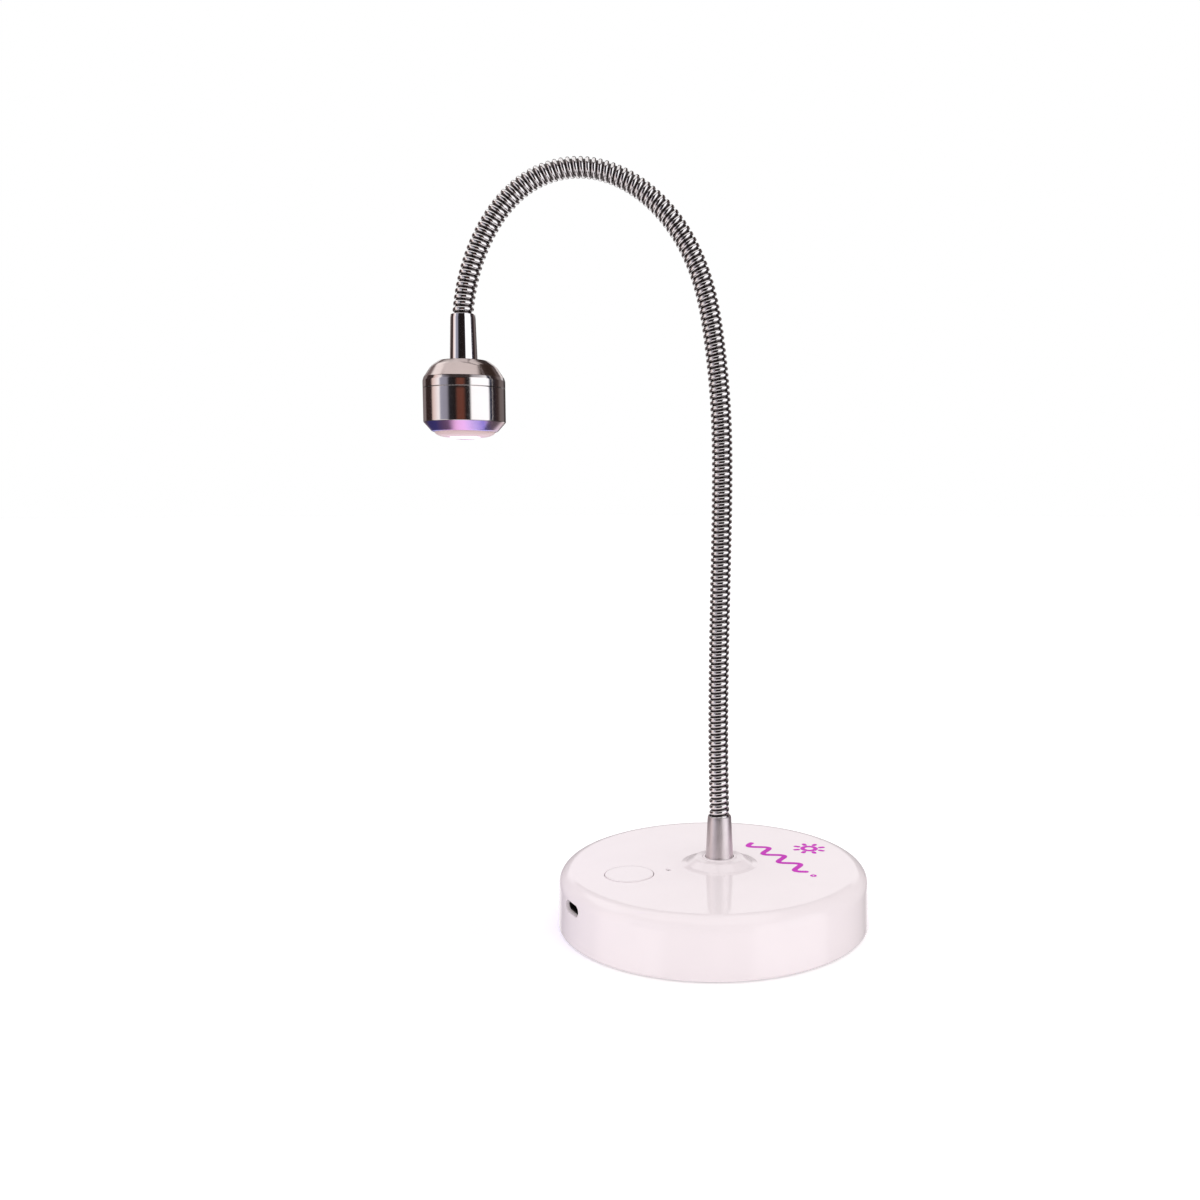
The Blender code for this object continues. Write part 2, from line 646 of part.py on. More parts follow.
spreader = on_head(turned(
    "heat_spreader", [(0.0, 166.8), (10.5, 166.8), (10.8, 166.5), (10.8, 163.8), (0.0, 163.8)], 28, ALUMINIUM,
))
lead_way = rod("lead_way", 1.3, 162.5, 168.0, (5.0, 0.0), 14, cutter=True)
on_head(lead_way)
cut(spreader, lead_way)
on_head(turned(
    "led_board", [(0.0, 163.5), (10.6, 163.5), (10.6, 162.3), (0.0, 162.3)], 28, BOARD_WHITE,
))
on_head(block("uv_emitter", (3.5, 3.5, 0.6), EMITTER, at=(0.0, 0.0, 161.7), round_by=0.12, segments=1))
on_head(turned(
    "lens_holder",
    [(5.5, 160.9), (9.9, 160.9), (9.9, 160.6), (8.6, 159.2), (8.6, HEAD_FOOT + 0.2), (5.5, HEAD_FOOT + 0.2)],
    32, HOLDER, ring=True,
))
on_head(turned(
    "lens",
    [
        (0.0, 160.8), (3.0, 160.8), (3.0, 161.9), (6.6, 161.9), (6.6, 161.2), (5.2, 161.2), (5.2, 157.6),
        (4.75, 156.95), (3.9, 156.45), (2.7, 156.15), (1.4, 156.03), (0.0, LENS_FOOT),
    ],
    24, LENS_CLEAR,
))
cable(
    "head_lead",
    [
        (HEAD_X, 0.0, 187.0), (HEAD_X, 0.0, 181.0), (HEAD_X, 0.0, 175.0), (HEAD_X + 0.4, 0.0, 172.0),
        (HEAD_X + 3.0, 0.0, 169.6), (HEAD_X + 4.8, 0.0, 167.6), (HEAD_X + 5.0, 0.0, 165.6),
        (HEAD_X + 5.0, 0.0, 163.85),
    ],
    0.8, 2, parent=head_mark,
)
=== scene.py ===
"""Looks for the UV curing lamp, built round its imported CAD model.

Lengths in the shape code are millimetres in the lamp's own frame (Z up, origin at the
centre of the base's underside) and become metres when a mesh is made.
"""
import json
import math

import bmesh
import bpy
from mathutils import Matrix, Vector

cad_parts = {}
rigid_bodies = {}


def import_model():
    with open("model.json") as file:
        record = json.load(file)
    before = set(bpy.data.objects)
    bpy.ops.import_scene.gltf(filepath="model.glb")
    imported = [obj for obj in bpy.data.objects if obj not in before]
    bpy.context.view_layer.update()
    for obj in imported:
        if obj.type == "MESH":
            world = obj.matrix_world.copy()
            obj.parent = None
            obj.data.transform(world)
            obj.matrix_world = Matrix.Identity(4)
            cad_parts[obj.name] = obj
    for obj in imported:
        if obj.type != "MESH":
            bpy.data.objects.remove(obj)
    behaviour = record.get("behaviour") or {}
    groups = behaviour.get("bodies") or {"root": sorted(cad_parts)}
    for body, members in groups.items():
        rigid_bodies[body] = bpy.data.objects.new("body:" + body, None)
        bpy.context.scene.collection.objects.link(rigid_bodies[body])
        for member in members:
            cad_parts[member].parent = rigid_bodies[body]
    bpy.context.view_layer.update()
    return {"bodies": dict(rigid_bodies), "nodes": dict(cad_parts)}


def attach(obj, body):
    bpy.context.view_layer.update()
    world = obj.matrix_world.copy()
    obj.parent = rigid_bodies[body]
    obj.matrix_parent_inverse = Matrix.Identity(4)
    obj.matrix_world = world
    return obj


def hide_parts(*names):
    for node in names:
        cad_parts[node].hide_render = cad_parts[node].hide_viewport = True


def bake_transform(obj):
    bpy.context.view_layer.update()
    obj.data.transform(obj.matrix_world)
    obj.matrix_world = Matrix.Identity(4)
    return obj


MM = 0.001
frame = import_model()
bodies = frame["bodies"]

# ------------------------------------------------------------------ dimensions
NECK_X = 2.0
HEAD_X = -78.2
BASE_TOP = 18.6
FERRULE_TOP = 34.5
UPPER_FERRULE_TOP = 193.9
HOSE_LENGTH = 288.0
JOINTS = 14
PITCH = HOSE_LENGTH / JOINTS
TURN = 1.9                      # the hose's wire pitch
ROUTE = (
    (0.0, 1.5), (60.0, -1.0), (110.0, 0.0), (140.0, 5.5), (160.0, 10.5), (178.0, 24.5),
    (196.0, 44.0), (214.0, 69.5), (232.0, 104.0), (250.0, 137.0), (268.0, 157.5),
    (289.0, 175.0),
)
BUTTON_AT = (-26.7, -11.0)
LIGHT_AT = (-14.4, -6.9)
PORT_YAW = math.radians(-151.0)
PORT_Z = 12.35


# ------------------------------------------------------------------ material tools
class Graph:
    """A small helper for building one Principled material's nodes."""

    def __init__(self, name):
        self.mat = bpy.data.materials.new(name)
        self.mat.use_nodes = True
        self.tree = self.mat.node_tree
        self.shader = self.tree.nodes["Principled BSDF"]
        self.out = self.tree.nodes["Material Output"]
        self.coords = self.tree.nodes.new("ShaderNodeTexCoord")

    def node(self, kind, **settings):
        n = self.tree.nodes.new(kind)
        for key, value in settings.items():
            setattr(n, key, value)
        return n

    def link(self, a, b):
        self.tree.links.new(a, b)

    def set(self, **values):
        for key, value in values.items():
            self.shader.inputs[key.replace("_", " ")].default_value = value

    def noise(self, scale, detail=3.0, rough=0.5, stretch=None, dims="3D"):
        n = self.node("ShaderNodeTexNoise", noise_dimensions=dims)
        n.inputs["Scale"].default_value = scale
        n.inputs["Detail"].default_value = detail
        n.inputs["Roughness"].default_value = rough
        if stretch:
            m = self.node("ShaderNodeMapping")
            m.inputs["Scale"].default_value = stretch
            self.link(self.coords.outputs["Object"], m.inputs["Vector"])
            self.link(m.outputs["Vector"], n.inputs["Vector"])
        else:
            self.link(self.coords.outputs["Object"], n.inputs["Vector"])
        return n.outputs["Fac"]

    def spread(self, source, low, high, a=0.3, b=0.7):
        """source from a..b to low..high."""
        m = self.node("ShaderNodeMapRange")
        m.inputs["From Min"].default_value = a
        m.inputs["From Max"].default_value = b
        m.inputs["To Min"].default_value = low
        m.inputs["To Max"].default_value = high
        self.link(source, m.inputs["Value"])
        return m.outputs["Result"]

    def tint(self, source, dark, light, a=0.3, b=0.7):
        r = self.node("ShaderNodeValToRGB")
        r.color_ramp.elements[0].position = a
        r.color_ramp.elements[0].color = (*dark, 1.0)
        r.color_ramp.elements[1].position = b
        r.color_ramp.elements[1].color = (*light, 1.0)
        self.link(source, r.inputs["Fac"])
        return r.outputs["Color"]

    def bump(self, source, strength, distance, after=None):
        b = self.node("ShaderNodeBump")
        b.inputs["Strength"].default_value = strength
        b.inputs["Distance"].default_value = distance
        self.link(source, b.inputs["Height"])
        if after is not None:
            self.link(after, b.inputs["Normal"])
        return b.outputs["Normal"]

    def to(self, source, socket):
        self.link(source, self.shader.inputs[socket])


def shade(colour, k):
    return tuple(min(1.0, c * k) for c in colour)


def plastic(name, colour, rough, grain=1500.0, depth=0.00001, vary=0.03, coat=0.0, peel=0.0):
    """Moulded plastic: faint cloudy colour, uneven gloss and a fine skin."""
    g = Graph(name)
    cloud = g.noise(60.0, 4.0)
    g.to(g.tint(cloud, shade(colour, 1 - vary), shade(colour, 1 + vary * 0.5)), "Base Color")
    g.to(g.spread(g.noise(140.0, 5.0), rough * 0.82, rough * 1.18), "Roughness")
    normal = g.bump(g.noise(grain, 4.0, 0.6), 0.35, depth)
    if peel:
        normal = g.bump(g.noise(240.0, 1.0), 0.3, peel, normal)
    g.to(normal, "Normal")
    if coat:
        g.set(Coat_Weight=coat, Coat_Roughness=0.04)
    return g.mat


def metal(name, colour, rough, lines="", vary=0.08, line_scale=9000.0, depth=0.000004, smudge=0.25):
    """Metal with turning lines round it, drawn lines along it, or a plain skin."""
    g = Graph(name)
    g.set(Metallic=1.0)
    cloud = g.noise(110.0, 5.0, 0.6)
    g.to(g.tint(cloud, shade(colour, 1 - vary), colour), "Base Color")
    if lines == "turned":
        fine = g.noise(1.0, 3.0, 0.65, stretch=(60.0, 60.0, line_scale))
    elif lines == "drawn":
        fine = g.noise(1.0, 3.0, 0.65, stretch=(line_scale * 0.35, line_scale * 0.35, 90.0))
    else:
        fine = g.noise(line_scale * 0.25, 4.0, 0.6)
    both = g.node("ShaderNodeMath", operation="MULTIPLY_ADD")
    g.link(cloud, both.inputs[0])
    both.inputs[1].default_value = smudge
    g.link(fine, both.inputs[2])
    g.to(g.spread(both.outputs[0], rough * 0.75, rough * 1.3, 0.4, 0.9), "Roughness")
    g.to(g.bump(fine, 0.4, depth), "Normal")
    return g.mat


def rubber(name, colour):
    g = Graph(name)
    g.to(g.tint(g.noise(300.0, 5.0), shade(colour, 0.7), shade(colour, 1.4)), "Base Color")
    g.to(g.spread(g.noise(900.0, 4.0), 0.7, 0.95), "Roughness")
    wave = g.node("ShaderNodeTexWave", wave_type="RINGS", rings_direction="Z", wave_profile="SIN")
    wave.inputs["Scale"].default_value = 90.0
    wave.inputs["Distortion"].default_value = 0.2
    g.link(g.coords.outputs["Object"], wave.inputs["Vector"])
    normal = g.bump(wave.outputs["Fac"], 0.5, 0.00015)
    g.to(g.bump(g.noise(3500.0, 4.0), 0.5, 0.00003, normal), "Normal")
    return g.mat


def board(name, colour, traces):
    """Solder mask over faint copper traces."""
    g = Graph(name)
    cells = g.node("ShaderNodeTexBrick")
    cells.inputs["Scale"].default_value = 260.0
    cells.inputs["Color1"].default_value = (*colour, 1.0)
    cells.inputs["Color2"].default_value = (*shade(colour, 1.15), 1.0)
    cells.inputs["Mortar"].default_value = (*traces, 1.0)
    cells.inputs["Mortar Size"].default_value = 0.04
    g.link(g.coords.outputs["Object"], cells.inputs["Vector"])
    g.to(cells.outputs["Color"], "Base Color")
    g.to(g.spread(g.noise(700.0), 0.35, 0.55), "Roughness")
    g.to(g.bump(cells.outputs["Fac"], 0.3, 0.00003), "Normal")
    return g.mat


WHITE = plastic("moulded_white", (0.855, 0.785, 0.808), 0.085, 2600.0, 0.0000025, 0.012, peel=0.000006)
WHITE.node_tree.nodes["Principled BSDF"].inputs["Specular IOR Level"].default_value = 0.42
BUTTON_WHITE = plastic("button_white_skin", (0.855, 0.79, 0.812), 0.10, 2600.0, 0.000003, 0.012)
COVER_WHITE = plastic("cover_textured", (0.80, 0.77, 0.785), 0.42, 2400.0, 0.00003, 0.03)
RUBBER = rubber("foot_rubber_skin", (0.035, 0.035, 0.037))
SATIN = metal("ferrule_satin", (0.86, 0.80, 0.81), 0.36, "drawn", 0.16, 7000.0, 0.000006, 0.6)
HEAD_STEEL = metal("head_turned_steel", (0.80, 0.765, 0.755), 0.115, "turned", 0.05, 16000.0, 0.0000022)
# The shoulder's steel is tinted darker and browner than the side's: painted shade for the dark reflection it shows.
SHOULDER_STEEL_PAINTED_SHADE = metal("head_shoulder_steel_painted_shade", (0.60, 0.51, 0.49), 0.14, "turned", 0.08, 12000.0, 0.000003)
MIRROR_STEEL = metal("ferrule_mirror", (0.86, 0.85, 0.86), 0.045, "", 0.03, 6000.0, 0.0000008)
HOSE_STEEL = metal("hose_chrome_skin", (0.84, 0.825, 0.82), 0.105, "", 0.06, 9000.0, 0.0000025)
# The inner wire is near-black: painted shade in the grooves between the outer coils.
HOSE_INNER_PAINTED_SHADE = metal("hose_inner_wire_painted_shade", (0.085, 0.07, 0.07), 0.35, "", 0.2, 9000.0, 0.000002)
ZINC = metal("ballast_zinc", (0.52, 0.53, 0.55), 0.38, "", 0.25, 3000.0, 0.00001)
SCREW = metal("screw_zinc", (0.60, 0.60, 0.62), 0.27, "turned", 0.12)
ALUMINIUM = metal("turned_aluminium", (0.76, 0.76, 0.775), 0.33, "turned", 0.08, 9000.0)
# The inlet's metal shell is near-black: painted shade for the dark inside of the charging slot.
PORT_SHELL_PAINTED_SHADE = metal("port_shell_painted_shade", (0.060, 0.055, 0.055), 0.36, "drawn", 0.1)
GOLD = metal("contact_gold", (0.83, 0.62, 0.24), 0.2, "", 0.08)
PORT_BLACK = plastic("port_tongue_black", (0.016, 0.015, 0.016), 0.42, 3000.0, 0.000008)
CHIP = plastic("chip_epoxy", (0.02, 0.02, 0.022), 0.42, 4000.0, 0.00001, 0.1)
IVORY = plastic("nylon_ivory", (0.78, 0.75, 0.66), 0.45, 2500.0, 0.00001, 0.05)
CABLE = plastic("cable_jacket", (0.10, 0.10, 0.105), 0.45, 4500.0, 0.00001, 0.1)
CABLE_RED = plastic("battery_lead_red", (0.45, 0.03, 0.03), 0.42, 4500.0, 0.00001, 0.1)
FOAM = plastic("foam_tape_grey", (0.13, 0.13, 0.135), 0.9, 1800.0, 0.00012, 0.15)
GREEN = board("control_board_mask", (0.02, 0.17, 0.065), (0.05, 0.28, 0.12))
BOARD_WHITE = board("led_board_mask", (0.82, 0.82, 0.81), (0.66, 0.62, 0.55))
EMITTER = plastic("emitter_phosphor", (0.70, 0.62, 0.22), 0.3, 3000.0, 0.000005)
PRINT = plastic("pad_print_magenta", (0.62, 0.016, 0.54), 0.30, 5200.0, 0.000006, 0.10)
PRINT.node_tree.nodes["Principled BSDF"].inputs["Specular IOR Level"].default_value = 0.12


def battery_skin():
    """Crinkled laminate pouch with a soft sheen."""
    g = Graph("battery_pouch")
    g.set(Metallic=0.7)
    g.to(g.tint(g.noise(90.0, 5.0), (0.50, 0.53, 0.58), (0.68, 0.70, 0.74)), "Base Color")
    g.to(g.spread(g.noise(220.0, 5.0), 0.28, 0.5), "Roughness")
    wrinkle = g.noise(130.0, 6.0, 0.65, stretch=(1.0, 2.2, 1.0))
    g.to(g.bump(wrinkle, 0.6, 0.00025), "Normal")
    return g.mat


BATTERY = battery_skin()


def clear(name, colour, rough, glow=0.0, glow_colour=(1, 1, 1)):
    g = Graph(name)
    g.set(Transmission_Weight=0.85, IOR=1.49)
    g.to(g.tint(g.noise(200.0), shade(colour, 0.96), colour), "Base Color")
    g.to(g.spread(g.noise(900.0), rough * 0.8, rough * 1.3), "Roughness")
    if glow:
        g.set(Emission_Strength=glow)
        g.set(Emission_Color=(*glow_colour, 1.0))
    return g.mat


PIPE = clear("light_pipe_clear", (0.62, 0.60, 0.62), 0.25)


# ------------------------------------------------------------------ the lit end of the head, its glow painted into the materials
def along(g, axis, low, high):
    """0..1 across a range of one object coordinate, given in millimetres."""
    sep = g.node("ShaderNodeSeparateXYZ")
    g.link(g.coords.outputs["Object"], sep.inputs[0])
    m = g.node("ShaderNodeMapRange")
    m.inputs["From Min"].default_value = low * MM
    m.inputs["From Max"].default_value = high * MM
    g.link(sep.outputs[axis], m.inputs["Value"])
    return m.outputs["Result"]


def ramp(g, source, stops, mode="LINEAR"):
    r = g.node("ShaderNodeValToRGB")
    r.color_ramp.interpolation = mode
    e = r.color_ramp.elements
    e[0].position, e[0].color = stops[0][0], (*stops[0][1], 1.0)
    e[1].position, e[1].color = stops[-1][0], (*stops[-1][1], 1.0)
    for place, colour in stops[1:-1]:
        n = e.new(place)
        n.color = (*colour, 1.0)
    g.link(source, r.inputs["Fac"])
    return r.outputs["Color"]


def from_axis(g, reach):
    """0 on the head's axis, 1 at reach millimetres from it."""
    m = g.node("ShaderNodeMapping")
    m.inputs["Location"].default_value = (-HEAD_X * MM, 0.0, 0.0)
    m.inputs["Scale"].default_value = (1.0, 1.0, 0.0)
    g.link(g.coords.outputs["Object"], m.inputs["Vector"])
    length = g.node("ShaderNodeVectorMath", operation="LENGTH")
    g.link(m.outputs["Vector"], length.inputs[0])
    r = g.node("ShaderNodeMapRange")
    r.inputs["From Max"].default_value = reach * MM
    g.link(length.outputs["Value"], r.inputs["Value"])
    return r.outputs["Result"]


def painted_glow_chamfer():
    """Polished steel with the violet light round the mouth painted in: blue at the left, pink in the middle,
    lavender at the right, as colour and a faint glow.
    """
    g = Graph("chamfer_steel_painted_glow")
    g.set(Metallic=1.0)
    fine = g.noise(1.0, 3.0, 0.65, stretch=(60.0, 60.0, 12000.0))
    g.to(g.spread(fine, 0.16, 0.26), "Roughness")
    g.to(g.bump(fine, 0.3, 0.000002), "Normal")
    # painted reflection of the violet light, fixed across the head from left to right
    across = along(g, "X", HEAD_X - 12.7, HEAD_X + 12.7)
    colour = ramp(g, across, [
        (0.0, (0.40, 0.30, 0.30)), (0.07, (0.34, 0.24, 0.36)), (0.13, (0.17, 0.14, 0.62)),
        (0.22, (0.20, 0.17, 0.72)), (0.33, (0.52, 0.30, 0.66)), (0.46, (0.80, 0.42, 0.74)),
        (0.58, (0.80, 0.45, 0.84)), (0.70, (0.56, 0.43, 0.88)), (0.80, (0.34, 0.29, 0.82)),
        (0.88, (0.56, 0.40, 0.55)), (1.0, (0.50, 0.38, 0.35)),
    ])
    g.to(colour, "Base Color")
    g.to(colour, "Emission Color")
    g.set(Emission_Strength=0.12)
    return g.mat


def painted_glow_holder():
    # Painted glow: the ring is pinkish near the lens and beige farther out, as colour and a faint emission.
    g = Graph("lens_holder_painted_glow")
    tint = ramp(g, from_axis(g, 9.4), [
        (0.5, (0.78, 0.52, 0.70)), (0.72, (0.64, 0.46, 0.52)), (1.0, (0.56, 0.42, 0.41)),
    ])
    g.to(tint, "Base Color")
    g.to(tint, "Emission Color")
    g.to(g.spread(g.noise(900.0), 0.28, 0.40), "Roughness")
    g.to(g.bump(g.noise(2500.0, 3.0), 0.3, 0.000004), "Normal")
    g.set(Emission_Strength=0.12)
    return g.mat


def lit_lens():
    """A domed lens glowing in place of the lamp's light, its glow painted in rings: violet-pink in the middle and
    at the rim, bright between.
    """
    g = Graph("lens_lit")
    out = from_axis(g, 5.4)
    tint = ramp(g, out, [
        (0.0, (0.86, 0.56, 0.86)), (0.52, (0.86, 0.56, 0.86)), (0.70, (1.0, 0.93, 1.0)),
        (0.90, (1.0, 0.93, 1.0)), (0.97, (0.80, 0.50, 0.80)), (1.0, (0.80, 0.50, 0.80)),
    ])
    glow = ramp(g, out, [
        (0.0, (0.26, 0.12, 0.26)), (0.52, (0.26, 0.12, 0.26)), (0.70, (1.0, 0.92, 1.0)),
        (0.90, (1.0, 0.92, 1.0)), (0.97, (0.14, 0.06, 0.14)), (1.0, (0.14, 0.06, 0.14)),
    ])
    g.to(tint, "Base Color")
    g.to(glow, "Emission Color")
    g.to(g.spread(g.noise(1200.0), 0.05, 0.10), "Roughness")
    g.set(Emission_Strength=0.9)
    g.shader.inputs["Specular IOR Level"].default_value = 0.25
    return g.mat


PAINTED_GLOW_CHAMFER = painted_glow_chamfer()
PAINTED_GLOW_HOLDER = painted_glow_holder()
LENS = lit_lens()


# ------------------------------------------------------------------ mesh tools
def finish_mesh(name, bm, mats, smooth_angle=32.0, body=None, replaces=(), weld=True):
    if weld:
        bmesh.ops.remove_doubles(bm, verts=bm.verts, dist=1e-7)
    bmesh.ops.recalc_face_normals(bm, faces=bm.faces)
    mesh = bpy.data.meshes.new(name)
    bm.to_mesh(mesh)
    bm.free()
    for m in mats if isinstance(mats, (list, tuple)) else [mats]:
        mesh.materials.append(m)
    mesh.shade_smooth()
    mesh.set_sharp_from_angle(angle=math.radians(smooth_angle))
    obj = bpy.data.objects.new(name, mesh)
    bpy.context.scene.collection.objects.link(obj)
    if body:
        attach(obj, body)
    if replaces:
        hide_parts(*replaces)
    return obj


def rounded(points, closed=False, segments=5):
    """A profile whose corners are rounded: points are (r, z) or (r, z, radius)."""
    out = []
    count = len(points)
    for i, p in enumerate(points):
        radius = p[2] if len(p) > 2 else 0.0
        here = Vector(p[:2])
        if radius <= 0 or (not closed and i in (0, count - 1)):
            out.append(tuple(here))
            continue
        before = Vector(points[i - 1][:2])
        after = Vector(points[(i + 1) % count][:2])
        a, b = (before - here), (after - here)
        la, lb = a.length, b.length
        a.normalize()
        b.normalize()
        angle = a.angle(b)
        cut = min(radius / math.tan(angle / 2), la * 0.49, lb * 0.49)
        r = cut * math.tan(angle / 2)
        centre = here + (a + b).normalized() * (r / math.sin(angle / 2))
        start, stop = here + a * cut - centre, here + b * cut - centre
        total = start.angle_signed(stop)
        for n in range(segments + 1):
            t = -total * n / segments
            c, s = math.cos(t), math.sin(t)
            out.append((centre.x + start.x * c - start.y * s, centre.y + start.x * s + start.y * c))
    return out


def lathe_into(bm, profile, steps, closed=True, at=(0.0, 0.0), mat=0, mats=None):
    """Adds a turned form to bm. An open profile starts and ends on the axis."""
    rings = []
    for r, z in profile:
        if r < 1e-6:
            rings.append([bm.verts.new((at[0] * MM, at[1] * MM, z * MM))])
        else:
            rings.append([
                bm.verts.new((
                    (at[0] + r * math.cos(math.tau * i / steps)) * MM,
                    (at[1] + r * math.sin(math.tau * i / steps)) * MM,
                    z * MM,
                ))
                for i in range(steps)
            ])
    spans = list(zip(range(len(rings)), range(1, len(rings))))
    if closed:
        spans.append((len(rings) - 1, 0))
    for a, b in spans:
        one, two = rings[a], rings[b]
        for i in range(steps):
            j = (i + 1) % steps
            if len(one) == 1 and len(two) == 1:
                continue
            if len(one) == 1:
                face = bm.faces.new((one[0], two[i], two[j]))
            elif len(two) == 1:
                face = bm.faces.new((one[i], two[0], one[j]))
            else:
                face = bm.faces.new((one[i], two[i], two[j], one[j]))
            face.material_index = mats(a, b) if mats else mat


def turned(name, profile, mats, body, replaces=(), steps=128, closed=True, at=(0.0, 0.0),
           angle=32.0, pick=None):
    bm = bmesh.new()
    lathe_into(bm, profile, steps, closed, at, mats=pick)
    return finish_mesh(name, bm, mats, angle, body, replaces, weld=False)


def stadium(width, height, count=10):
    """Outline of a slot with round ends, as (across, up) pairs."""
    r = height / 2
    half = width / 2 - r
    out = []
    for side, base in ((1, -90), (-1, 90)):
        for n in range(count + 1):
            a = math.radians(base + 180 * n / count)
            out.append((side * half + r * math.cos(a), r * math.sin(a)))
    return out


def port_point(depth, across, up):
    """A point of the charging inlet: depth is the distance from the base's axis."""
    d = Vector((math.cos(PORT_YAW), math.sin(PORT_YAW), 0.0))
    side = Vector((-d.y, d.x, 0.0))
    return (d * depth + side * across + Vector((0.0, 0.0, PORT_Z + up))) * MM


def loft_into(bm, loops, close_first=True, close_last=True, mat=0):
    """Skins a row of loops with equal counts, optionally capping both ends."""
    rows = [[bm.verts.new(p) for p in loop] for loop in loops]
    n = len(rows[0])
    for one, two in zip(rows, rows[1:]):
        for i in range(n):
            j = (i + 1) % n
            bm.faces.new((one[i], one[j], two[j], two[i])).material_index = mat
    if close_first:
        bm.faces.new(list(reversed(rows[0]))).material_index = mat
    if close_last:
        bm.faces.new(rows[-1]).material_index = mat
    return rows


def temp_object(name, bm):
    bmesh.ops.recalc_face_normals(bm, faces=bm.faces)
    mesh = bpy.data.meshes.new(name)
    bm.to_mesh(mesh)
    bm.free()
    obj = bpy.data.objects.new(name, mesh)
    bpy.context.scene.collection.objects.link(obj)
    return obj


def carve(bm, cutters, operation="DIFFERENCE"):
    """The mesh in bm with each cutter taken away (or joined), as a new bmesh."""
    body = temp_object("carve_body", bm)
    for c in cutters:
        step = body.modifiers.new(c.name, "BOOLEAN")
        step.operation = operation
        step.solver = "EXACT"
        step.object = c
    bpy.context.view_layer.update()
    made = bpy.data.meshes.new_from_object(body.evaluated_get(bpy.context.evaluated_depsgraph_get()))
    out = bmesh.new()
    out.from_mesh(made)
    for o in [body, *cutters]:
        mesh = o.data
        bpy.data.objects.remove(o, do_unlink=True)
        bpy.data.meshes.remove(mesh)
    bpy.data.meshes.remove(made)
    return out


# ------------------------------------------------------------------ base shell
def cutter_lathe(name, profile, at, steps=96):
    bm = bmesh.new()
    lathe_into(bm, profile, steps, closed=False, at=at)
    return temp_object(name, bm)


shell = [
    (4.4, 18.6), (12.0, 18.6), (30.0, 18.6), (43.0, 18.6), (44.6, 18.6), (45.1, 18.6),
]
for n in range(1, 15):
    a = math.radians(90 - 90 * n / 14)
    shell.append((45.2 + 4.6 * math.cos(a) ** 1.02, 14.0 + 4.6 * math.sin(a) ** 1.02))
shell += [
    (49.86, 11.0), (49.95, 7.0), (50.05, 3.0), (50.12, 1.3), (50.10, 0.85), (49.95, 0.58), (49.7, 0.42),
    (49.4, 0.4), (47.9, 0.4), (47.8, 0.5), (47.5, 6.0), (47.4, 14.0), (46.6, 15.6), (45.0, 16.6),
    (30.0, 16.6), (4.4, 16.6),
]
shell_bm = bmesh.new()
lathe_into(shell_bm, shell, 256, closed=True, at=(0.0, 0.0))

slot_bm = bmesh.new()
loft_into(slot_bm, [
    [port_point(53.0, *p) for p in stadium(10.9, 5.1)],
    [port_point(50.35, *p) for p in stadium(10.05, 4.25)],
    [port_point(49.92, *p) for p in stadium(9.62, 3.82)],
    [port_point(49.55, *p) for p in stadium(9.4, 3.6)],
    [port_point(44.0, *p) for p in stadium(9.4, 3.6)],
])
shell_bm = carve(shell_bm, [
    cutter_lathe("cut_button", [
        (0.0, 20.0), (8.0, 20.0), (8.0, 18.68), (7.88, 18.54), (7.84, 18.4), (7.84, 15.0), (0.0, 15.0),
    ], BUTTON_AT),
    cutter_lathe("cut_light", [
        (0.0, 20.0), (1.05, 20.0), (1.05, 18.72), (0.80, 18.45), (0.72, 18.3), (0.72, 15.0), (0.0, 15.0),
    ], LIGHT_AT, 40),
    temp_object("cut_port", slot_bm),
])
shell_obj = finish_mesh("base_shell_moulding", shell_bm, WHITE, 30.0, "base", ("base_shell",))

collar = rounded([
    (4.62, 17.6), (4.62, 21.0, 0.15), (5.3, 21.0, 0.22), (5.55, 20.68, 0.2), (8.0, 20.6, 1.6),
    (10.75, 18.95, 0.9), (12.4, 18.605), (12.6, 18.3), (12.6, 17.6),
], closed=False, segments=6)
turned("neck_collar", collar, WHITE, "base", steps=128, at=(NECK_X, 0.0))

# ------------------------------------------------------------------ button, light, inlet
turned("button_cap", rounded([
    (0.0, 18.76), (4.0, 18.78), (6.6, 18.82), (7.68, 18.82, 0.30), (7.68, 16.3), (9.2, 16.3, 0.1),
    (9.2, 15.3, 0.1), (0.0, 15.3),
]), BUTTON_WHITE, "button", ("power_button",), 128, closed=False, at=BUTTON_AT)
turned("indicator_pipe", rounded([
    (0.0, 18.34), (0.3, 18.33), (0.5, 18.25), (0.5, 16.3), (1.2, 16.3, 0.1), (1.2, 15.5, 0.1), (0.5, 15.2),
    (0.5, 11.8), (0.0, 11.8),
]), PIPE, "base", ("light_pipe",), 40, closed=False, at=LIGHT_AT)

port_bm = bmesh.new()
outer, inner = (8.8, 3.0), (8.2, 2.4)
loft_into(port_bm, [
    [port_point(40.4, *p) for p in stadium(8.6, 2.8)],
    [port_point(40.2 + 0.4, *p) for p in stadium(*outer)],
    [port_point(48.5, *p) for p in stadium(*outer)],
    [port_point(48.65, *p) for p in stadium(8.66, 2.86)],
    [port_point(48.65, *p) for p in stadium(8.3, 2.5)],
    [port_point(48.5, *p) for p in stadium(*inner)],
    [port_point(41.4, *p) for p in stadium(*inner)],
])
finish_mesh("inlet_shell", port_bm, PORT_SHELL_PAINTED_SHADE, 30.0, "base", ("usb_c_receptacle",))
tongue_bm = bmesh.new()
for bottom, top, width, start, stop in ((-0.35, 0.35, 6.7, 41.2, 47.6), (-0.7, 0.7, 6.9, 41.2, 42.6)):
    loft_into(tongue_bm, [
        [port_point(depth, u * width / 2, v) for u, v in ((-1, bottom), (1, bottom), (1, top), (-1, top))]
        for depth in (start, stop)
    ])
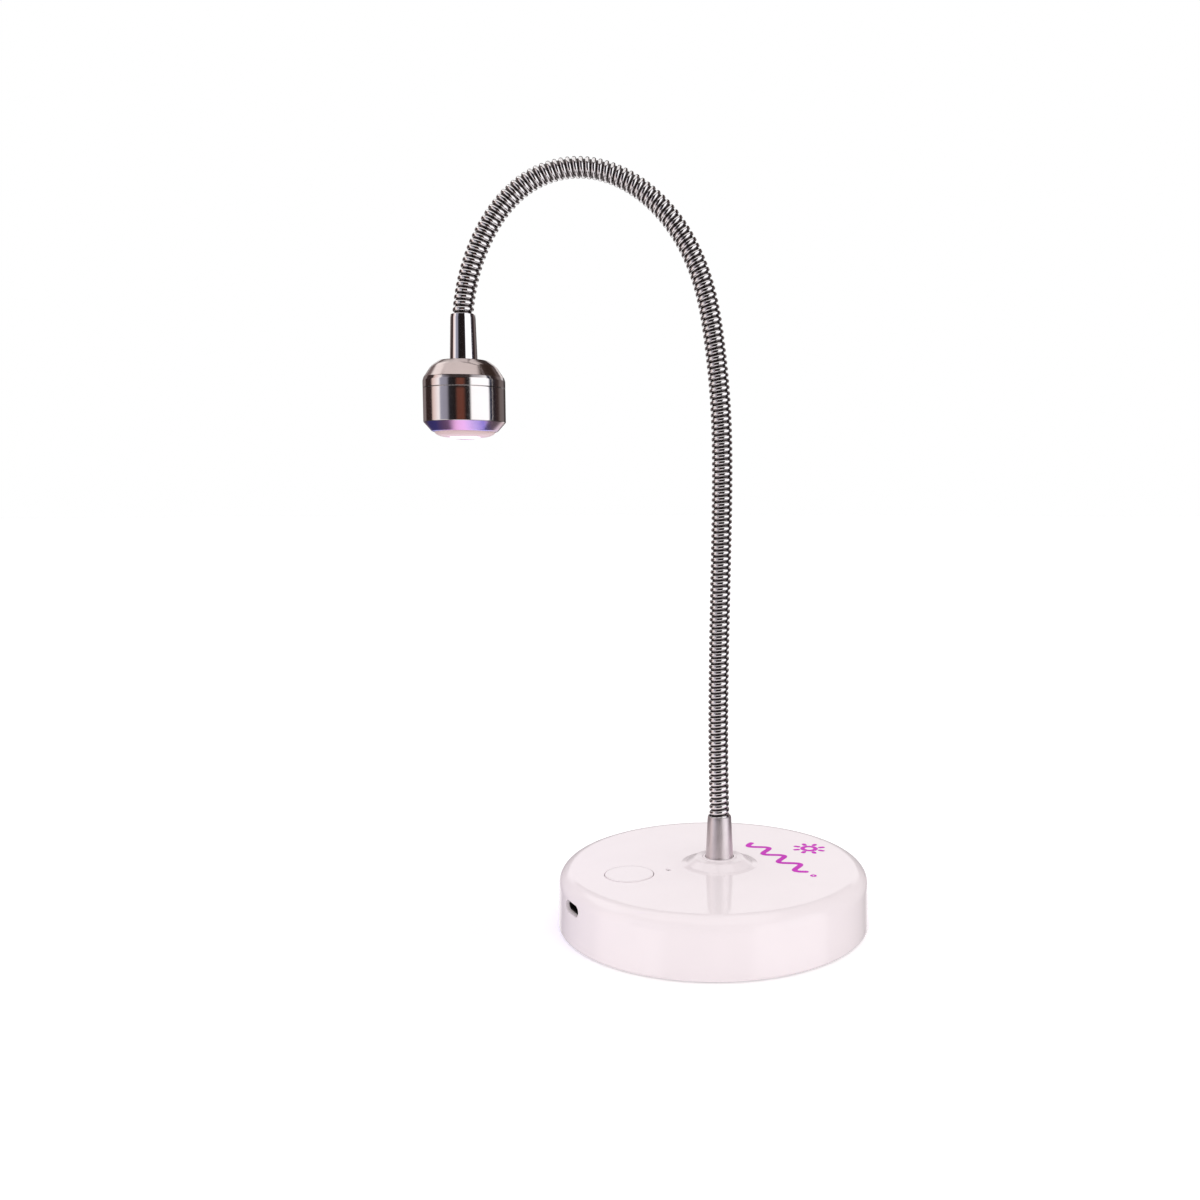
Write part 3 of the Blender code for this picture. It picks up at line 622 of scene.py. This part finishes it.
bmesh.ops.bevel(tongue_bm, geom=list(tongue_bm.edges), offset=0.00008, segments=2, affect="EDGES", profile=0.5)
finish_mesh("inlet_tongue", tongue_bm, PORT_BLACK, 40.0, "base")
contact_bm = bmesh.new()
for face in (-1, 1):
    for n in range(12):
        across = -2.75 + n * 0.5
        low, high = sorted((face * 0.352, face * 0.392))
        loft_into(contact_bm, [
            [port_point(depth, across + u * 0.13, v) for u, v in ((-1, low), (1, low), (1, high), (-1, high))]
            for depth in (44.2, 47.2)
        ])
finish_mesh("inlet_contacts", contact_bm, GOLD, 30.0, "base", weld=False)

# ------------------------------------------------------------------ print on the base
PRINT_Z = BASE_TOP + 0.012
PRINT_H = 0.03


def stroke_into(bm, line, width, closed=False, end=10):
    """A flat inked stroke of even width with round ends along a 2-D line (mm)."""
    left, right = [], []
    pts = [Vector(p) for p in line]
    count = len(pts)
    for i, p in enumerate(pts):
        before = pts[i - 1] if (i or closed) else p
        after = pts[(i + 1) % count] if (i < count - 1 or closed) else p
        t = (after - before).normalized()
        n = Vector((-t.y, t.x)) * width / 2
        left.append(p + n)
        right.append(p - n)
    if closed:
        loops = [left, right]
        rows = []
        for loop in loops:
            for z in (PRINT_Z, PRINT_Z + PRINT_H):
                rows.append([bm.verts.new((v.x * MM, v.y * MM, z * MM)) for v in loop])
        l0, l1, r0, r1 = rows
        for i in range(count):
            j = (i + 1) % count
            for a, b in ((l0, l1), (l1, r1), (r1, r0), (r0, l0)):
                bm.faces.new((a[i], a[j], b[j], b[i]))
        return
    outline = list(left)
    t = (pts[-1] - pts[-2]).normalized()
    base = math.atan2(t.y, t.x)
    for n in range(1, end):
        a = base + math.pi / 2 - math.pi * n / end
        outline.append(pts[-1] + Vector((math.cos(a), math.sin(a))) * width / 2)
    outline += list(reversed(right))
    t = (pts[0] - pts[1]).normalized()
    base = math.atan2(t.y, t.x)
    for n in range(1, end):
        a = base + math.pi / 2 - math.pi * n / end
        outline.append(pts[0] + Vector((math.cos(a), math.sin(a))) * width / 2)
    low = [bm.verts.new((v.x * MM, v.y * MM, PRINT_Z * MM)) for v in outline]
    high = [bm.verts.new((v.x * MM, v.y * MM, (PRINT_Z + PRINT_H) * MM)) for v in outline]
    k = len(outline)
    for i in range(k):
        j = (i + 1) % k
        bm.faces.new((low[i], low[j], high[j], high[i]))
    bm.faces.new(high)
    bm.faces.new(list(reversed(low)))


def print_point(u, v):
    """u runs along the printed line from the back to the front, v to its left."""
    start, stop = Vector((13.6, 20.4)), Vector((31.8, -13.4))
    along_line = (stop - start).normalized()
    side = Vector((-along_line.y, along_line.x))
    return start + along_line * u + side * v


print_bm = bmesh.new()
# a plain light-wave line with a dot at its end
wave = []
for n in range(181):
    t = n / 180
    wave.append(print_point(33.6 * t - 0.4, 2.5 * math.sin(math.tau * 3.5 * t + math.pi)))
stroke_into(print_bm, wave, 1.85)
ring = [print_point(37.4 + 0.7 * math.cos(math.tau * i / 32), 0.7 * math.sin(math.tau * i / 32)) for i in range(32)]
stroke_into(print_bm, ring, 0.7, closed=True)
# a ring with eight short rays: the usual sign for light
LIGHT_SIGN = Vector((32.7, 14.9))
ring = [LIGHT_SIGN + Vector((math.cos(math.tau * i / 56), math.sin(math.tau * i / 56))) * 2.2 for i in range(56)]
stroke_into(print_bm, ring, 1.55, closed=True)
for n in range(8):
    d = Vector((math.cos(math.tau * (n + 0.35) / 8), math.sin(math.tau * (n + 0.35) / 8)))
    stroke_into(print_bm, [LIGHT_SIGN + d * 4.0, LIGHT_SIGN + d * 4.95], 1.45)
finish_mesh("base_print", print_bm, PRINT, 30.0, "base", weld=False)

# ------------------------------------------------------------------ neck foot
turned("lower_ferrule_sleeve", rounded([
    (3.34, FERRULE_TOP - 0.1, 0.08), (3.74, FERRULE_TOP - 0.1, 0.18), (3.86, FERRULE_TOP - 1.2),
    (4.42, 21.6, 0.5), (4.52, 20.72), (4.0, 20.72), (4.0, 11.9), (3.8, 11.7), (1.7, 11.7), (1.7, 27.6),
    (3.34, 28.1),
], closed=True), SATIN, "base", ("lower_ferrule",), 96, at=(NECK_X, 0.0))
turned("lower_ferrule_mouth", rounded([
    (3.0, FERRULE_TOP - 0.45), (3.36, FERRULE_TOP - 0.45), (3.36, FERRULE_TOP - 1.4), (3.0, FERRULE_TOP - 1.4),
], closed=True), RUBBER, "base", steps=72, at=(NECK_X, 0.0))


# ------------------------------------------------------------------ hose
def lean(s):
    for i in range(len(ROUTE) - 1):
        if s <= ROUTE[i + 1][0] or i == len(ROUTE) - 2:
            break
    slopes = []
    for k in (i, i + 1):
        a, b = ROUTE[max(k - 1, 0)], ROUTE[min(k + 1, len(ROUTE) - 1)]
        slopes.append((b[1] - a[1]) / (b[0] - a[0]))
    (s0, h0), (s1, h1) = ROUTE[i], ROUTE[i + 1]
    w = s1 - s0
    t = (s - s0) / w
    return math.radians(
        (2 * t ** 3 - 3 * t ** 2 + 1) * h0 + (t ** 3 - 2 * t ** 2 + t) * w * slopes[0]
        + (-2 * t ** 3 + 3 * t ** 2) * h1 + (t ** 3 - t ** 2) * w * slopes[1]
    )


STEP = 0.05
BEFORE = 1.3                    # how far the hose reaches into each ferrule
line = [(NECK_X, FERRULE_TOP)]
while len(line) * STEP <= HOSE_LENGTH + BEFORE + 2.0:
    s = (len(line) - 0.5) * STEP
    a = lean(min(s, 289.0))
    x, z = line[-1]
    line.append((x - math.sin(a) * STEP, z + math.cos(a) * STEP))


def centre(s):
    """Point and lean of the hose's centre line at a distance along it."""
    if s < 0:
        a = lean(0.0)
        return NECK_X - math.sin(a) * s, FERRULE_TOP + math.cos(a) * s, a
    k = s / STEP
    i = min(int(k), len(line) - 2)
    f = k - i
    (x0, z0), (x1, z1) = line[i], line[i + 1]
    x, z = x0 + (x1 - x0) * f, z0 + (z1 - z0) * f
    settle = min(max((s - 270.0) / 18.0, 0.0), 1.0)      # the end sits in the ferrule's axis
    return x + settle * settle * (HEAD_X - END_X), z, lean(min(max(s, 0.0), 289.0))


END_X = line[int(HOSE_LENGTH / STEP)][0]


def wire_ring(bm, s, section, turn_angle):
    x, z, a = centre(s)
    tangent = Vector((-math.sin(a), 0.0, math.cos(a)))
    across = Vector((math.cos(a), 0.0, math.sin(a)))
    c, d = math.cos(turn_angle), math.sin(turn_angle)
    outward = across * c + Vector((0.0, 1.0, 0.0)) * d
    origin = Vector((x, 0.0, z))
    return [bm.verts.new((origin + outward * r + tangent * w) * MM) for w, r in section]


def oval(half_width, half_height, middle, count, power):
    out = []
    for n in range(count):
        a = math.tau * n / count
        c, s = math.cos(a), math.sin(a)
        out.append((
            half_width * math.copysign(abs(c) ** (2 / power), c),
            middle + half_height * math.copysign(abs(s) ** (2 / power), s),
        ))
    return out


# the outer wire has a broad, gently rounded crown; (along the hose, out from its axis)
CROWN = [
    (0.0, 3.25), (0.18, 3.235), (0.34, 3.185), (0.48, 3.105), (0.59, 3.0), (0.66, 2.87), (0.68, 2.72),
    (0.64, 2.4), (0.38, 2.12), (0.0, 2.06),
]
OUTER = CROWN + [(-w, r) for w, r in reversed(CROWN[1:-1])]
INNER = oval(0.50, 0.44, 2.18, 8, 2.0)


def wire_into(bm, start, stop, section, per_turn, shift, mat):
    """A coiled wire from one distance to another, capped at both ends."""
    first, last = round(start / TURN * per_turn), round(stop / TURN * per_turn)
    rows = []
    for i in range(first, last + 1):
        s = i * TURN / per_turn
        rows.append(wire_ring(bm, s + shift, section, math.tau * i / per_turn))
    n = len(section)
    for one, two in zip(rows, rows[1:]):
        for k in range(n):
            m = (k + 1) % n
            bm.faces.new((one[k], one[m], two[m], two[k])).material_index = mat
    bm.faces.new(list(reversed(rows[0]))).material_index = mat
    bm.faces.new(rows[-1]).material_index = mat


for k in range(JOINTS):
    start = k * PITCH if k else -BEFORE
    stop = (k + 1) * PITCH if k < JOINTS - 1 else HOSE_LENGTH + BEFORE
    bm = bmesh.new()
    wire_into(bm, start, stop, OUTER, 36, 0.0, 0)
    wire_into(bm, start, stop, INNER, 24, TURN / 2, 1)
    piece = finish_mesh(f"hose_coil_{k + 1:02d}", bm, [HOSE_STEEL, HOSE_INNER_PAINTED_SHADE], 60.0, weld=False)
    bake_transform(piece)
    stands_for = [f"hose_section_{k + 1:02d}"] + (["hose_section_00"] if k == 0 else [])
    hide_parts(*stands_for)

# ------------------------------------------------------------------ head
HX = (HEAD_X, 0.0)
turned("upper_ferrule_sleeve", rounded([
    (3.36, UPPER_FERRULE_TOP - 0.1, 0.08), (3.72, UPPER_FERRULE_TOP - 0.1, 0.2),
    (3.86, UPPER_FERRULE_TOP - 1.2, 1.0), (4.24, 179.9, 0.12), (4.1, 179.62), (3.0, 179.62), (3.0, 173.4),
    (2.8, 173.2), (1.7, 173.2), (1.7, 186.9), (3.36, 187.4),
], closed=True), MIRROR_STEEL, "head", ("upper_ferrule",), 96, at=HX)
turned("upper_ferrule_mouth", rounded([
    (3.0, UPPER_FERRULE_TOP - 0.45), (3.38, UPPER_FERRULE_TOP - 0.45), (3.38, UPPER_FERRULE_TOP - 1.4),
    (3.0, UPPER_FERRULE_TOP - 1.4),
], closed=True), RUBBER, "head", steps=72, at=HX)

SEAM = 170.9
cap = rounded([
    (3.3, 179.5), (7.55, 179.5, 0.9), (10.05, 177.75, 5.0), (12.38, 174.25, 0.9), (12.7, 173.2, 0.9),
    (12.7, SEAM + 0.09, 0.1), (10.9, SEAM + 0.09), (10.9, 170.4), (10.2, 170.4), (10.2, 169.45),
    (10.9, 169.45), (10.9, 168.3), (9.3, 168.3), (9.3, 173.4), (7.4, 177.0), (3.3, 177.0),
], closed=True, segments=7)


def cap_slot(a, b):
    """The shoulder is turned a little coarser than the side, and its steel is tinted darker and browner as painted
    shade.
    """
    (r0, z0), (r1, z1) = cap[a], cap[b]
    return 1 if min(z0, z1) > 173.75 and min(r0, r1) > 3.0 and max(r0, r1) > 7.0 else 0


turned("head_cap_turned", cap, [HEAD_STEEL, SHOULDER_STEEL_PAINTED_SHADE], "head", ("head_cap",), 144, at=HX,
       angle=28.0, pick=cap_slot)

barrel = rounded([
    (11.2, SEAM - 0.09), (12.7, SEAM - 0.09, 0.1), (12.7, 169.0), (12.7, 160.55, 0.5), (10.25, 157.75, 0.8),
    (9.62, 157.5, 0.1), (9.55, 158.0), (9.3, 159.0), (11.2, 161.3),
], closed=True, segments=6)


def barrel_slot(a, b):
    """The chamfer and what lies inside the mouth get the steel with the painted violet glow; the rest is plain
    steel.
    """
    (r0, z0), (r1, z1) = barrel[a], barrel[b]
    return 1 if max(z0, z1) < 160.45 and min(r0, r1) > 8.8 else 0


turned("head_barrel_turned", barrel, [HEAD_STEEL, PAINTED_GLOW_CHAMFER], "head", ("head_barrel",), 144, at=HX,
       angle=28.0, pick=barrel_slot)
ring_line = [(5.05, 160.9), (9.9, 160.9), (9.9, 160.6), (9.3, 159.2), (9.45, 157.95)]
for n in range(0, 9):                       # the ring's face is gently bowled
    a = math.radians(90 * n / 8)
    ring_line.append((5.3 + 4.15 * math.cos(a), 157.75 - 1.85 * math.sin(a)))
ring_line += [(4.98, 155.98), (4.92, 156.4), (4.92, 158.0), (5.05, 158.6)]
turned("lens_ring", ring_line, PAINTED_GLOW_HOLDER, "head", ("lens_holder",), 96, at=HX)
lens = [(0.0, 160.8), (3.0, 160.8), (3.0, 161.9), (6.6, 161.9), (6.6, 161.2), (4.88, 161.2), (4.88, 156.2)]
for n in range(1, 13):
    a = math.radians(90 * n / 12)
    lens.append((4.88 * math.cos(a), 156.2 - 1.0 * math.sin(a)))
lens[-1] = (0.0, 155.2)
turned("lens_dome", lens, LENS, "head", ("lens",), 96, closed=False, at=HX)

# ------------------------------------------------------------------ underside
turned("foot_pad", rounded([
    (0.0, 1.0), (44.9, 1.0, 0.2), (45.0, 0.0, 0.25), (42.6, 0.0, 0.1), (42.4, 0.18, 0.1), (40.6, 0.18, 0.1),
    (40.4, 0.0, 0.1), (24.4, 0.0, 0.1), (24.2, 0.18, 0.1), (22.8, 0.18, 0.1), (22.6, 0.0, 0.1), (0.0, 0.0),
]), RUBBER, "base", ("anti_slip_pad",), 144, closed=False)

# ------------------------------------------------------------------ pieces kept from the CAD model
kept = {
    "bottom_cover": COVER_WHITE, "ballast_plate": ZINC, "battery_cell": BATTERY, "battery_pad": FOAM,
    "battery_lead": CABLE_RED, "base_lead": CABLE, "head_lead": CABLE, "battery_connector": IVORY,
    "lead_connector": IVORY, "control_board": GREEN, "charge_chip": CHIP, "driver_inductor": CHIP,
    "status_led": IVORY, "tact_switch": CHIP, "switch_plunger": IVORY, "neck_washer": SCREW,
    "neck_lock_nut": SCREW, "head_lock_nut": SCREW, "cap_o_ring": RUBBER, "heat_spreader": ALUMINIUM,
    "led_board": BOARD_WHITE, "uv_emitter": EMITTER,
    "cover_screw_1": SCREW, "cover_screw_2": SCREW, "cover_screw_3": SCREW, "cover_screw_4": SCREW,
    "board_screw_1": SCREW, "board_screw_2": SCREW,
}
for node, mat in kept.items():
    for slot in frame["nodes"][node].material_slots:
        slot.material = mat


# ------------------------------------------------------------------ stage, light and camera
def floor_material():
    """Pale sweep, with a painted faint violet pool of the lamp's light under the head, in colour and glow."""
    g = Graph("floor_pale")
    m = g.node("ShaderNodeMapping")
    m.inputs["Location"].default_value = (0.106, 0.010, 0.0)
    m.inputs["Scale"].default_value = (1.0, 1.0, 0.0)
    g.link(g.coords.outputs["Object"], m.inputs["Vector"])
    away = g.node("ShaderNodeVectorMath", operation="LENGTH")
    g.link(m.outputs["Vector"], away.inputs[0])
    r = g.node("ShaderNodeMapRange", interpolation_type="SMOOTHSTEP")
    r.inputs["From Min"].default_value = 0.028
    r.inputs["From Max"].default_value = 0.088
    g.link(away.outputs["Value"], r.inputs["Value"])
    # painted violet pool of light: tinted colour and glow inside the ring, plain pale outside
    colour = g.tint(r.outputs["Result"], (0.83, 0.80, 0.91), (0.93, 0.925, 0.93), 0.0, 1.0)
    g.to(colour, "Base Color")
    g.to(g.tint(r.outputs["Result"], (0.82, 0.79, 1.0), (1.0, 1.0, 1.0), 0.0, 1.0), "Emission Color")
    g.set(Roughness=0.7, Emission_Strength=0.22)
    g.shader.inputs["Specular IOR Level"].default_value = 0.2
    return g.mat


floor_bm = bmesh.new()
bmesh.ops.create_circle(floor_bm, cap_ends=True, segments=96, radius=8.0)
floor = temp_object("floor", floor_bm)
floor.location.z = -0.00005
floor.data.materials.append(floor_material())
floor.visible_glossy = False


def warm_card():
    """A small warm card in front of the head, seen only in its polished side."""
    bm = bmesh.new()
    loft_into(bm, [
        [Vector((x, y, z)) * MM for x, z in ((-104, 138), (-45, 138), (-45, 191), (-104, 191))]
        for y in (-121, -120)
    ])
    card = temp_object("warm_card", bm)
    g = Graph("card_warm")
    g.set(Base_Color=(0.0, 0.0, 0.0, 1.0), Roughness=1.0)
    g.to(ramp(g, along(g, "X", -104, -45), [
        (0.0, (0.012, 0.010, 0.010)), (0.22, (0.15, 0.042, 0.026)), (0.72, (0.16, 0.046, 0.028)),
        (1.0, (0.012, 0.010, 0.010)),
    ]), "Emission Color")
    g.set(Emission_Strength=1.0)
    card.data.materials.append(g.mat)
    card.visible_camera = card.visible_diffuse = card.visible_shadow = False
    card.visible_transmission = card.visible_volume_scatter = False


warm_card()


def studio():
    """White surroundings for the eye, soft light for matt faces, and a ring of soft boxes and
    dark gaps for the polished ones."""
    world = bpy.data.worlds.new("studio")
    bpy.context.scene.world = world
    world.use_nodes = True
    nt = world.node_tree
    nt.nodes.clear()

    def math_node(operation, a, b=None):
        n = nt.nodes.new("ShaderNodeMath")
        n.operation = operation
        for i, v in enumerate((a, b)):
            if v is None:
                continue
            if isinstance(v, (int, float)):
                n.inputs[i].default_value = v
            else:
                nt.links.new(v, n.inputs[i])
        return n.outputs[0]

    def ring_of(stops):
        """A colour for each direction round the lamp, in degrees from the front, + to the right."""
        n = nt.nodes.new("ShaderNodeValToRGB")
        e = n.color_ramp.elements
        e[0].position, e[0].color = 0.0, (*stops[0][1], 1.0)
        e[1].position, e[1].color = 1.0, (*stops[-1][1], 1.0)
        for degrees, colour in stops[1:-1]:
            e.new((degrees + 180) / 360).color = (*colour, 1.0)
        nt.links.new(share.outputs["Result"], n.inputs["Fac"])
        return n.outputs["Color"]

    def blend_up(low, high, a, b):
        """low below height a, high above height b (sines of the elevation)."""
        m = nt.nodes.new("ShaderNodeMapRange")
        m.interpolation_type = "SMOOTHSTEP"
        m.inputs["From Min"].default_value = a
        m.inputs["From Max"].default_value = b
        nt.links.new(sep.outputs["Z"], m.inputs["Value"])
        n = nt.nodes.new("ShaderNodeMixRGB")
        nt.links.new(m.outputs["Result"], n.inputs["Fac"])
        for socket, v in (("Color1", low), ("Color2", high)):
            if isinstance(v, tuple):
                n.inputs[socket].default_value = (*v, 1.0)
            else:
                nt.links.new(v, n.inputs[socket])
        return n.outputs["Color"]

    coord = nt.nodes.new("ShaderNodeTexCoord")
    sep = nt.nodes.new("ShaderNodeSeparateXYZ")
    nt.links.new(coord.outputs["Generated"], sep.inputs[0])
    facing = math_node("MULTIPLY", sep.outputs["Y"], -1.0)
    turn = math_node("ARCTAN2", sep.outputs["X"], facing)
    share = nt.nodes.new("ShaderNodeMapRange")
    share.inputs["From Min"].default_value = -math.pi
    share.inputs["From Max"].default_value = math.pi
    nt.links.new(turn, share.inputs["Value"])
    level = ring_of([
        (-180, (0.05, 0.04, 0.04)), (-162, (0.06, 0.05, 0.05)), (-152, (0.22, 0.18, 0.18)),
        (-126, (0.26, 0.21, 0.21)), (-119, (0.035, 0.018, 0.016)), (-92, (0.035, 0.020, 0.020)),
        (-87, (0.80, 0.60, 0.55)), (-76, (1.00, 0.84, 0.82)), (-63, (1.15, 1.10, 1.12)),
        (-58, (0.38, 0.38, 0.47)), (-38, (0.32, 0.31, 0.38)), (-31, (0.020, 0.018, 0.022)),
        (-14, (0.014, 0.010, 0.010)), (14, (0.018, 0.012, 0.012)), (26, (0.014, 0.012, 0.014)),
        (31, (1.35, 1.33, 1.35)), (82, (1.35, 1.35, 1.40)), (87, (0.012, 0.018, 0.050)),
        (102, (0.022, 0.016, 0.020)), (119, (0.050, 0.030, 0.028)), (130, (0.18, 0.145, 0.14)),
        (150, (0.20, 0.17, 0.17)), (160, (0.06, 0.05, 0.05)), (180, (0.05, 0.04, 0.04)),
    ])
    raised = ring_of([
        (-180, (0.055, 0.045, 0.045)), (-152, (0.06, 0.05, 0.05)), (-143, (1.40, 1.38, 1.38)),
        (-92, (1.40, 1.38, 1.38)), (-84, (0.16, 0.12, 0.11)), (-40, (0.040, 0.028, 0.028)),
        (30, (0.040, 0.028, 0.028)), (40, (0.40, 0.37, 0.39)), (76, (0.40, 0.37, 0.39)),
        (86, (0.040, 0.028, 0.024)), (150, (0.050, 0.032, 0.026)), (180, (0.055, 0.045, 0.045)),
    ])
    high = ring_of([
        (-180, (0.95, 0.92, 0.93)), (-84, (1.05, 1.02, 1.03)), (50, (1.00, 0.97, 0.98)),
        (74, (0.50, 0.44, 0.43)), (84, (0.060, 0.038, 0.032)), (146, (0.055, 0.034, 0.028)),
        (156, (0.90, 0.86, 0.87)), (180, (0.95, 0.92, 0.93)),
    ])
    behind = ring_of([
        (-180, (1.0, 1.0, 1.0)), (-158, (1.0, 1.0, 1.0)), (-142, (0.0, 0.0, 0.0)),
        (142, (0.0, 0.0, 0.0)), (158, (1.0, 1.0, 1.0)), (180, (1.0, 1.0, 1.0)),
    ])
    backdrop = nt.nodes.new("ShaderNodeMixRGB")
    nt.links.new(behind, backdrop.inputs["Fac"])
    nt.links.new(level, backdrop.inputs["Color1"])
    backdrop.inputs["Color2"].default_value = (1.0, 0.97, 0.98, 1.0)
    over_back = blend_up(blend_up(level, backdrop.outputs["Color"], 0.225, 0.275), level, 0.40, 0.44)
    floor_ring = ring_of([
        (-180, (1.0, 0.97, 0.99)), (-158, (1.0, 0.97, 0.99)), (-148, (0.06, 0.05, 0.05)),
        (-96, (0.06, 0.05, 0.05)), (-86, (0.90, 0.80, 0.80)), (-42, (1.0, 0.97, 1.0)),
        (-32, (0.030, 0.024, 0.026)), (24, (0.030, 0.024, 0.026)), (31, (1.05, 1.02, 1.05)),
        (84, (1.05, 1.02, 1.05)), (91, (0.045, 0.035, 0.040)), (148, (0.06, 0.05, 0.05)),
        (158, (1.0, 0.97, 0.99)), (180, (1.0, 0.97, 0.99)),
    ])
    deep_ring = ring_of([
        (-180, (1.0, 0.97, 0.99)), (-158, (1.0, 0.97, 0.99)), (-148, (0.06, 0.05, 0.05)),
        (-40, (0.06, 0.05, 0.05)), (-30, (0.85, 0.80, 0.83)), (22, (0.85, 0.80, 0.83)),
        (32, (0.06, 0.05, 0.05)), (148, (0.06, 0.05, 0.05)), (158, (1.0, 0.97, 0.99)),
        (180, (1.0, 0.97, 0.99)),
    ])
    deep_floor = blend_up((1.0, 0.97, 0.99), deep_ring, -0.96, -0.88)
    near_floor = blend_up(deep_floor, floor_ring, -0.68, -0.56)
    floor_seen = blend_up(near_floor, over_back, -0.27, -0.13)
    higher = blend_up(floor_seen, raised, 0.52, 0.62)
    crown = blend_up(higher, high, 0.76, 0.83)
    mirrored = blend_up(crown, (1.02, 0.99, 0.99), 0.86, 0.91)
    soft = blend_up((0.90, 0.88, 0.89), (1.02, 1.0, 1.0), -0.2, 0.6)

    def background(colour):
        n = nt.nodes.new("ShaderNodeBackground")
        n.inputs["Strength"].default_value = 1.0
        if isinstance(colour, tuple):
            n.inputs["Color"].default_value = (*colour, 1.0)
        else:
            nt.links.new(colour, n.inputs["Color"])
        return n.outputs[0]

    def choose(fac, a, b):
        n = nt.nodes.new("ShaderNodeMixShader")
        nt.links.new(fac, n.inputs["Fac"])
        nt.links.new(a, n.inputs[1])
        nt.links.new(b, n.inputs[2])
        return n.outputs[0]

    path = nt.nodes.new("ShaderNodeLightPath")
    room = choose(path.outputs["Is Glossy Ray"], background(soft), background(mirrored))
    seen = choose(path.outputs["Is Camera Ray"], room, background((1.0, 1.0, 1.0)))
    out = nt.nodes.new("ShaderNodeOutputWorld")
    nt.links.new(seen, out.inputs["Surface"])


studio()


def soft_box(name, place, aim, size, power, colour=(1.0, 1.0, 1.0)):
    light = bpy.data.lights.new(name, "AREA")
    light.shape = "RECTANGLE"
    light.size, light.size_y = size
    light.energy = power
    light.color = colour
    obj = bpy.data.objects.new(name, light)
    obj.location = place
    obj.rotation_euler = (Vector(aim) - Vector(place)).to_track_quat("-Z", "Y").to_euler()
    bpy.context.scene.collection.objects.link(obj)
    obj.visible_glossy = False
    return obj


soft_box("top_box", (0.0, 0.1, 1.1), (0.0, 0.0, 0.0), (1.2, 1.2), 1.0)
soft_box("front_fill", (0.15, -1.4, 0.75), (0.0, 0.0, 0.08), (1.0, 0.7), 0.8, (1.0, 0.985, 0.98))

spot = bpy.data.lights.new("violet_pool", "SPOT")
spot.energy = 0.02
spot.color = (0.42, 0.25, 1.0)
spot.spot_size = math.radians(70)
spot.spot_blend = 1.0
spot.shadow_soft_size = 0.006
spot_obj = bpy.data.objects.new("violet_pool", spot)
spot_obj.location = (HEAD_X * MM, 0.0, 0.1545)
bpy.context.scene.collection.objects.link(spot_obj)
bpy.context.view_layer.update()
spot_obj.parent = bodies["head"]
spot_obj.matrix_parent_inverse = bodies["head"].matrix_world.inverted()

camera_data = bpy.data.cameras.new("camera")
camera_data.sensor_width = 36.0
camera_data.lens = 33.75
camera_data.shift_x = -0.08
camera_data.clip_start = 0.01
camera_data.clip_end = 50.0
camera = bpy.data.objects.new("camera", camera_data)
camera.location = (-0.0056, -0.357, 0.137)
camera.rotation_euler = (math.radians(90.0 - 5.2), 0.0, 0.0)
bpy.context.scene.collection.objects.link(camera)
bpy.context.scene.camera = camera
bpy.context.scene.view_settings.view_transform = "Standard"
bpy.context.scene.view_settings.look = "None"
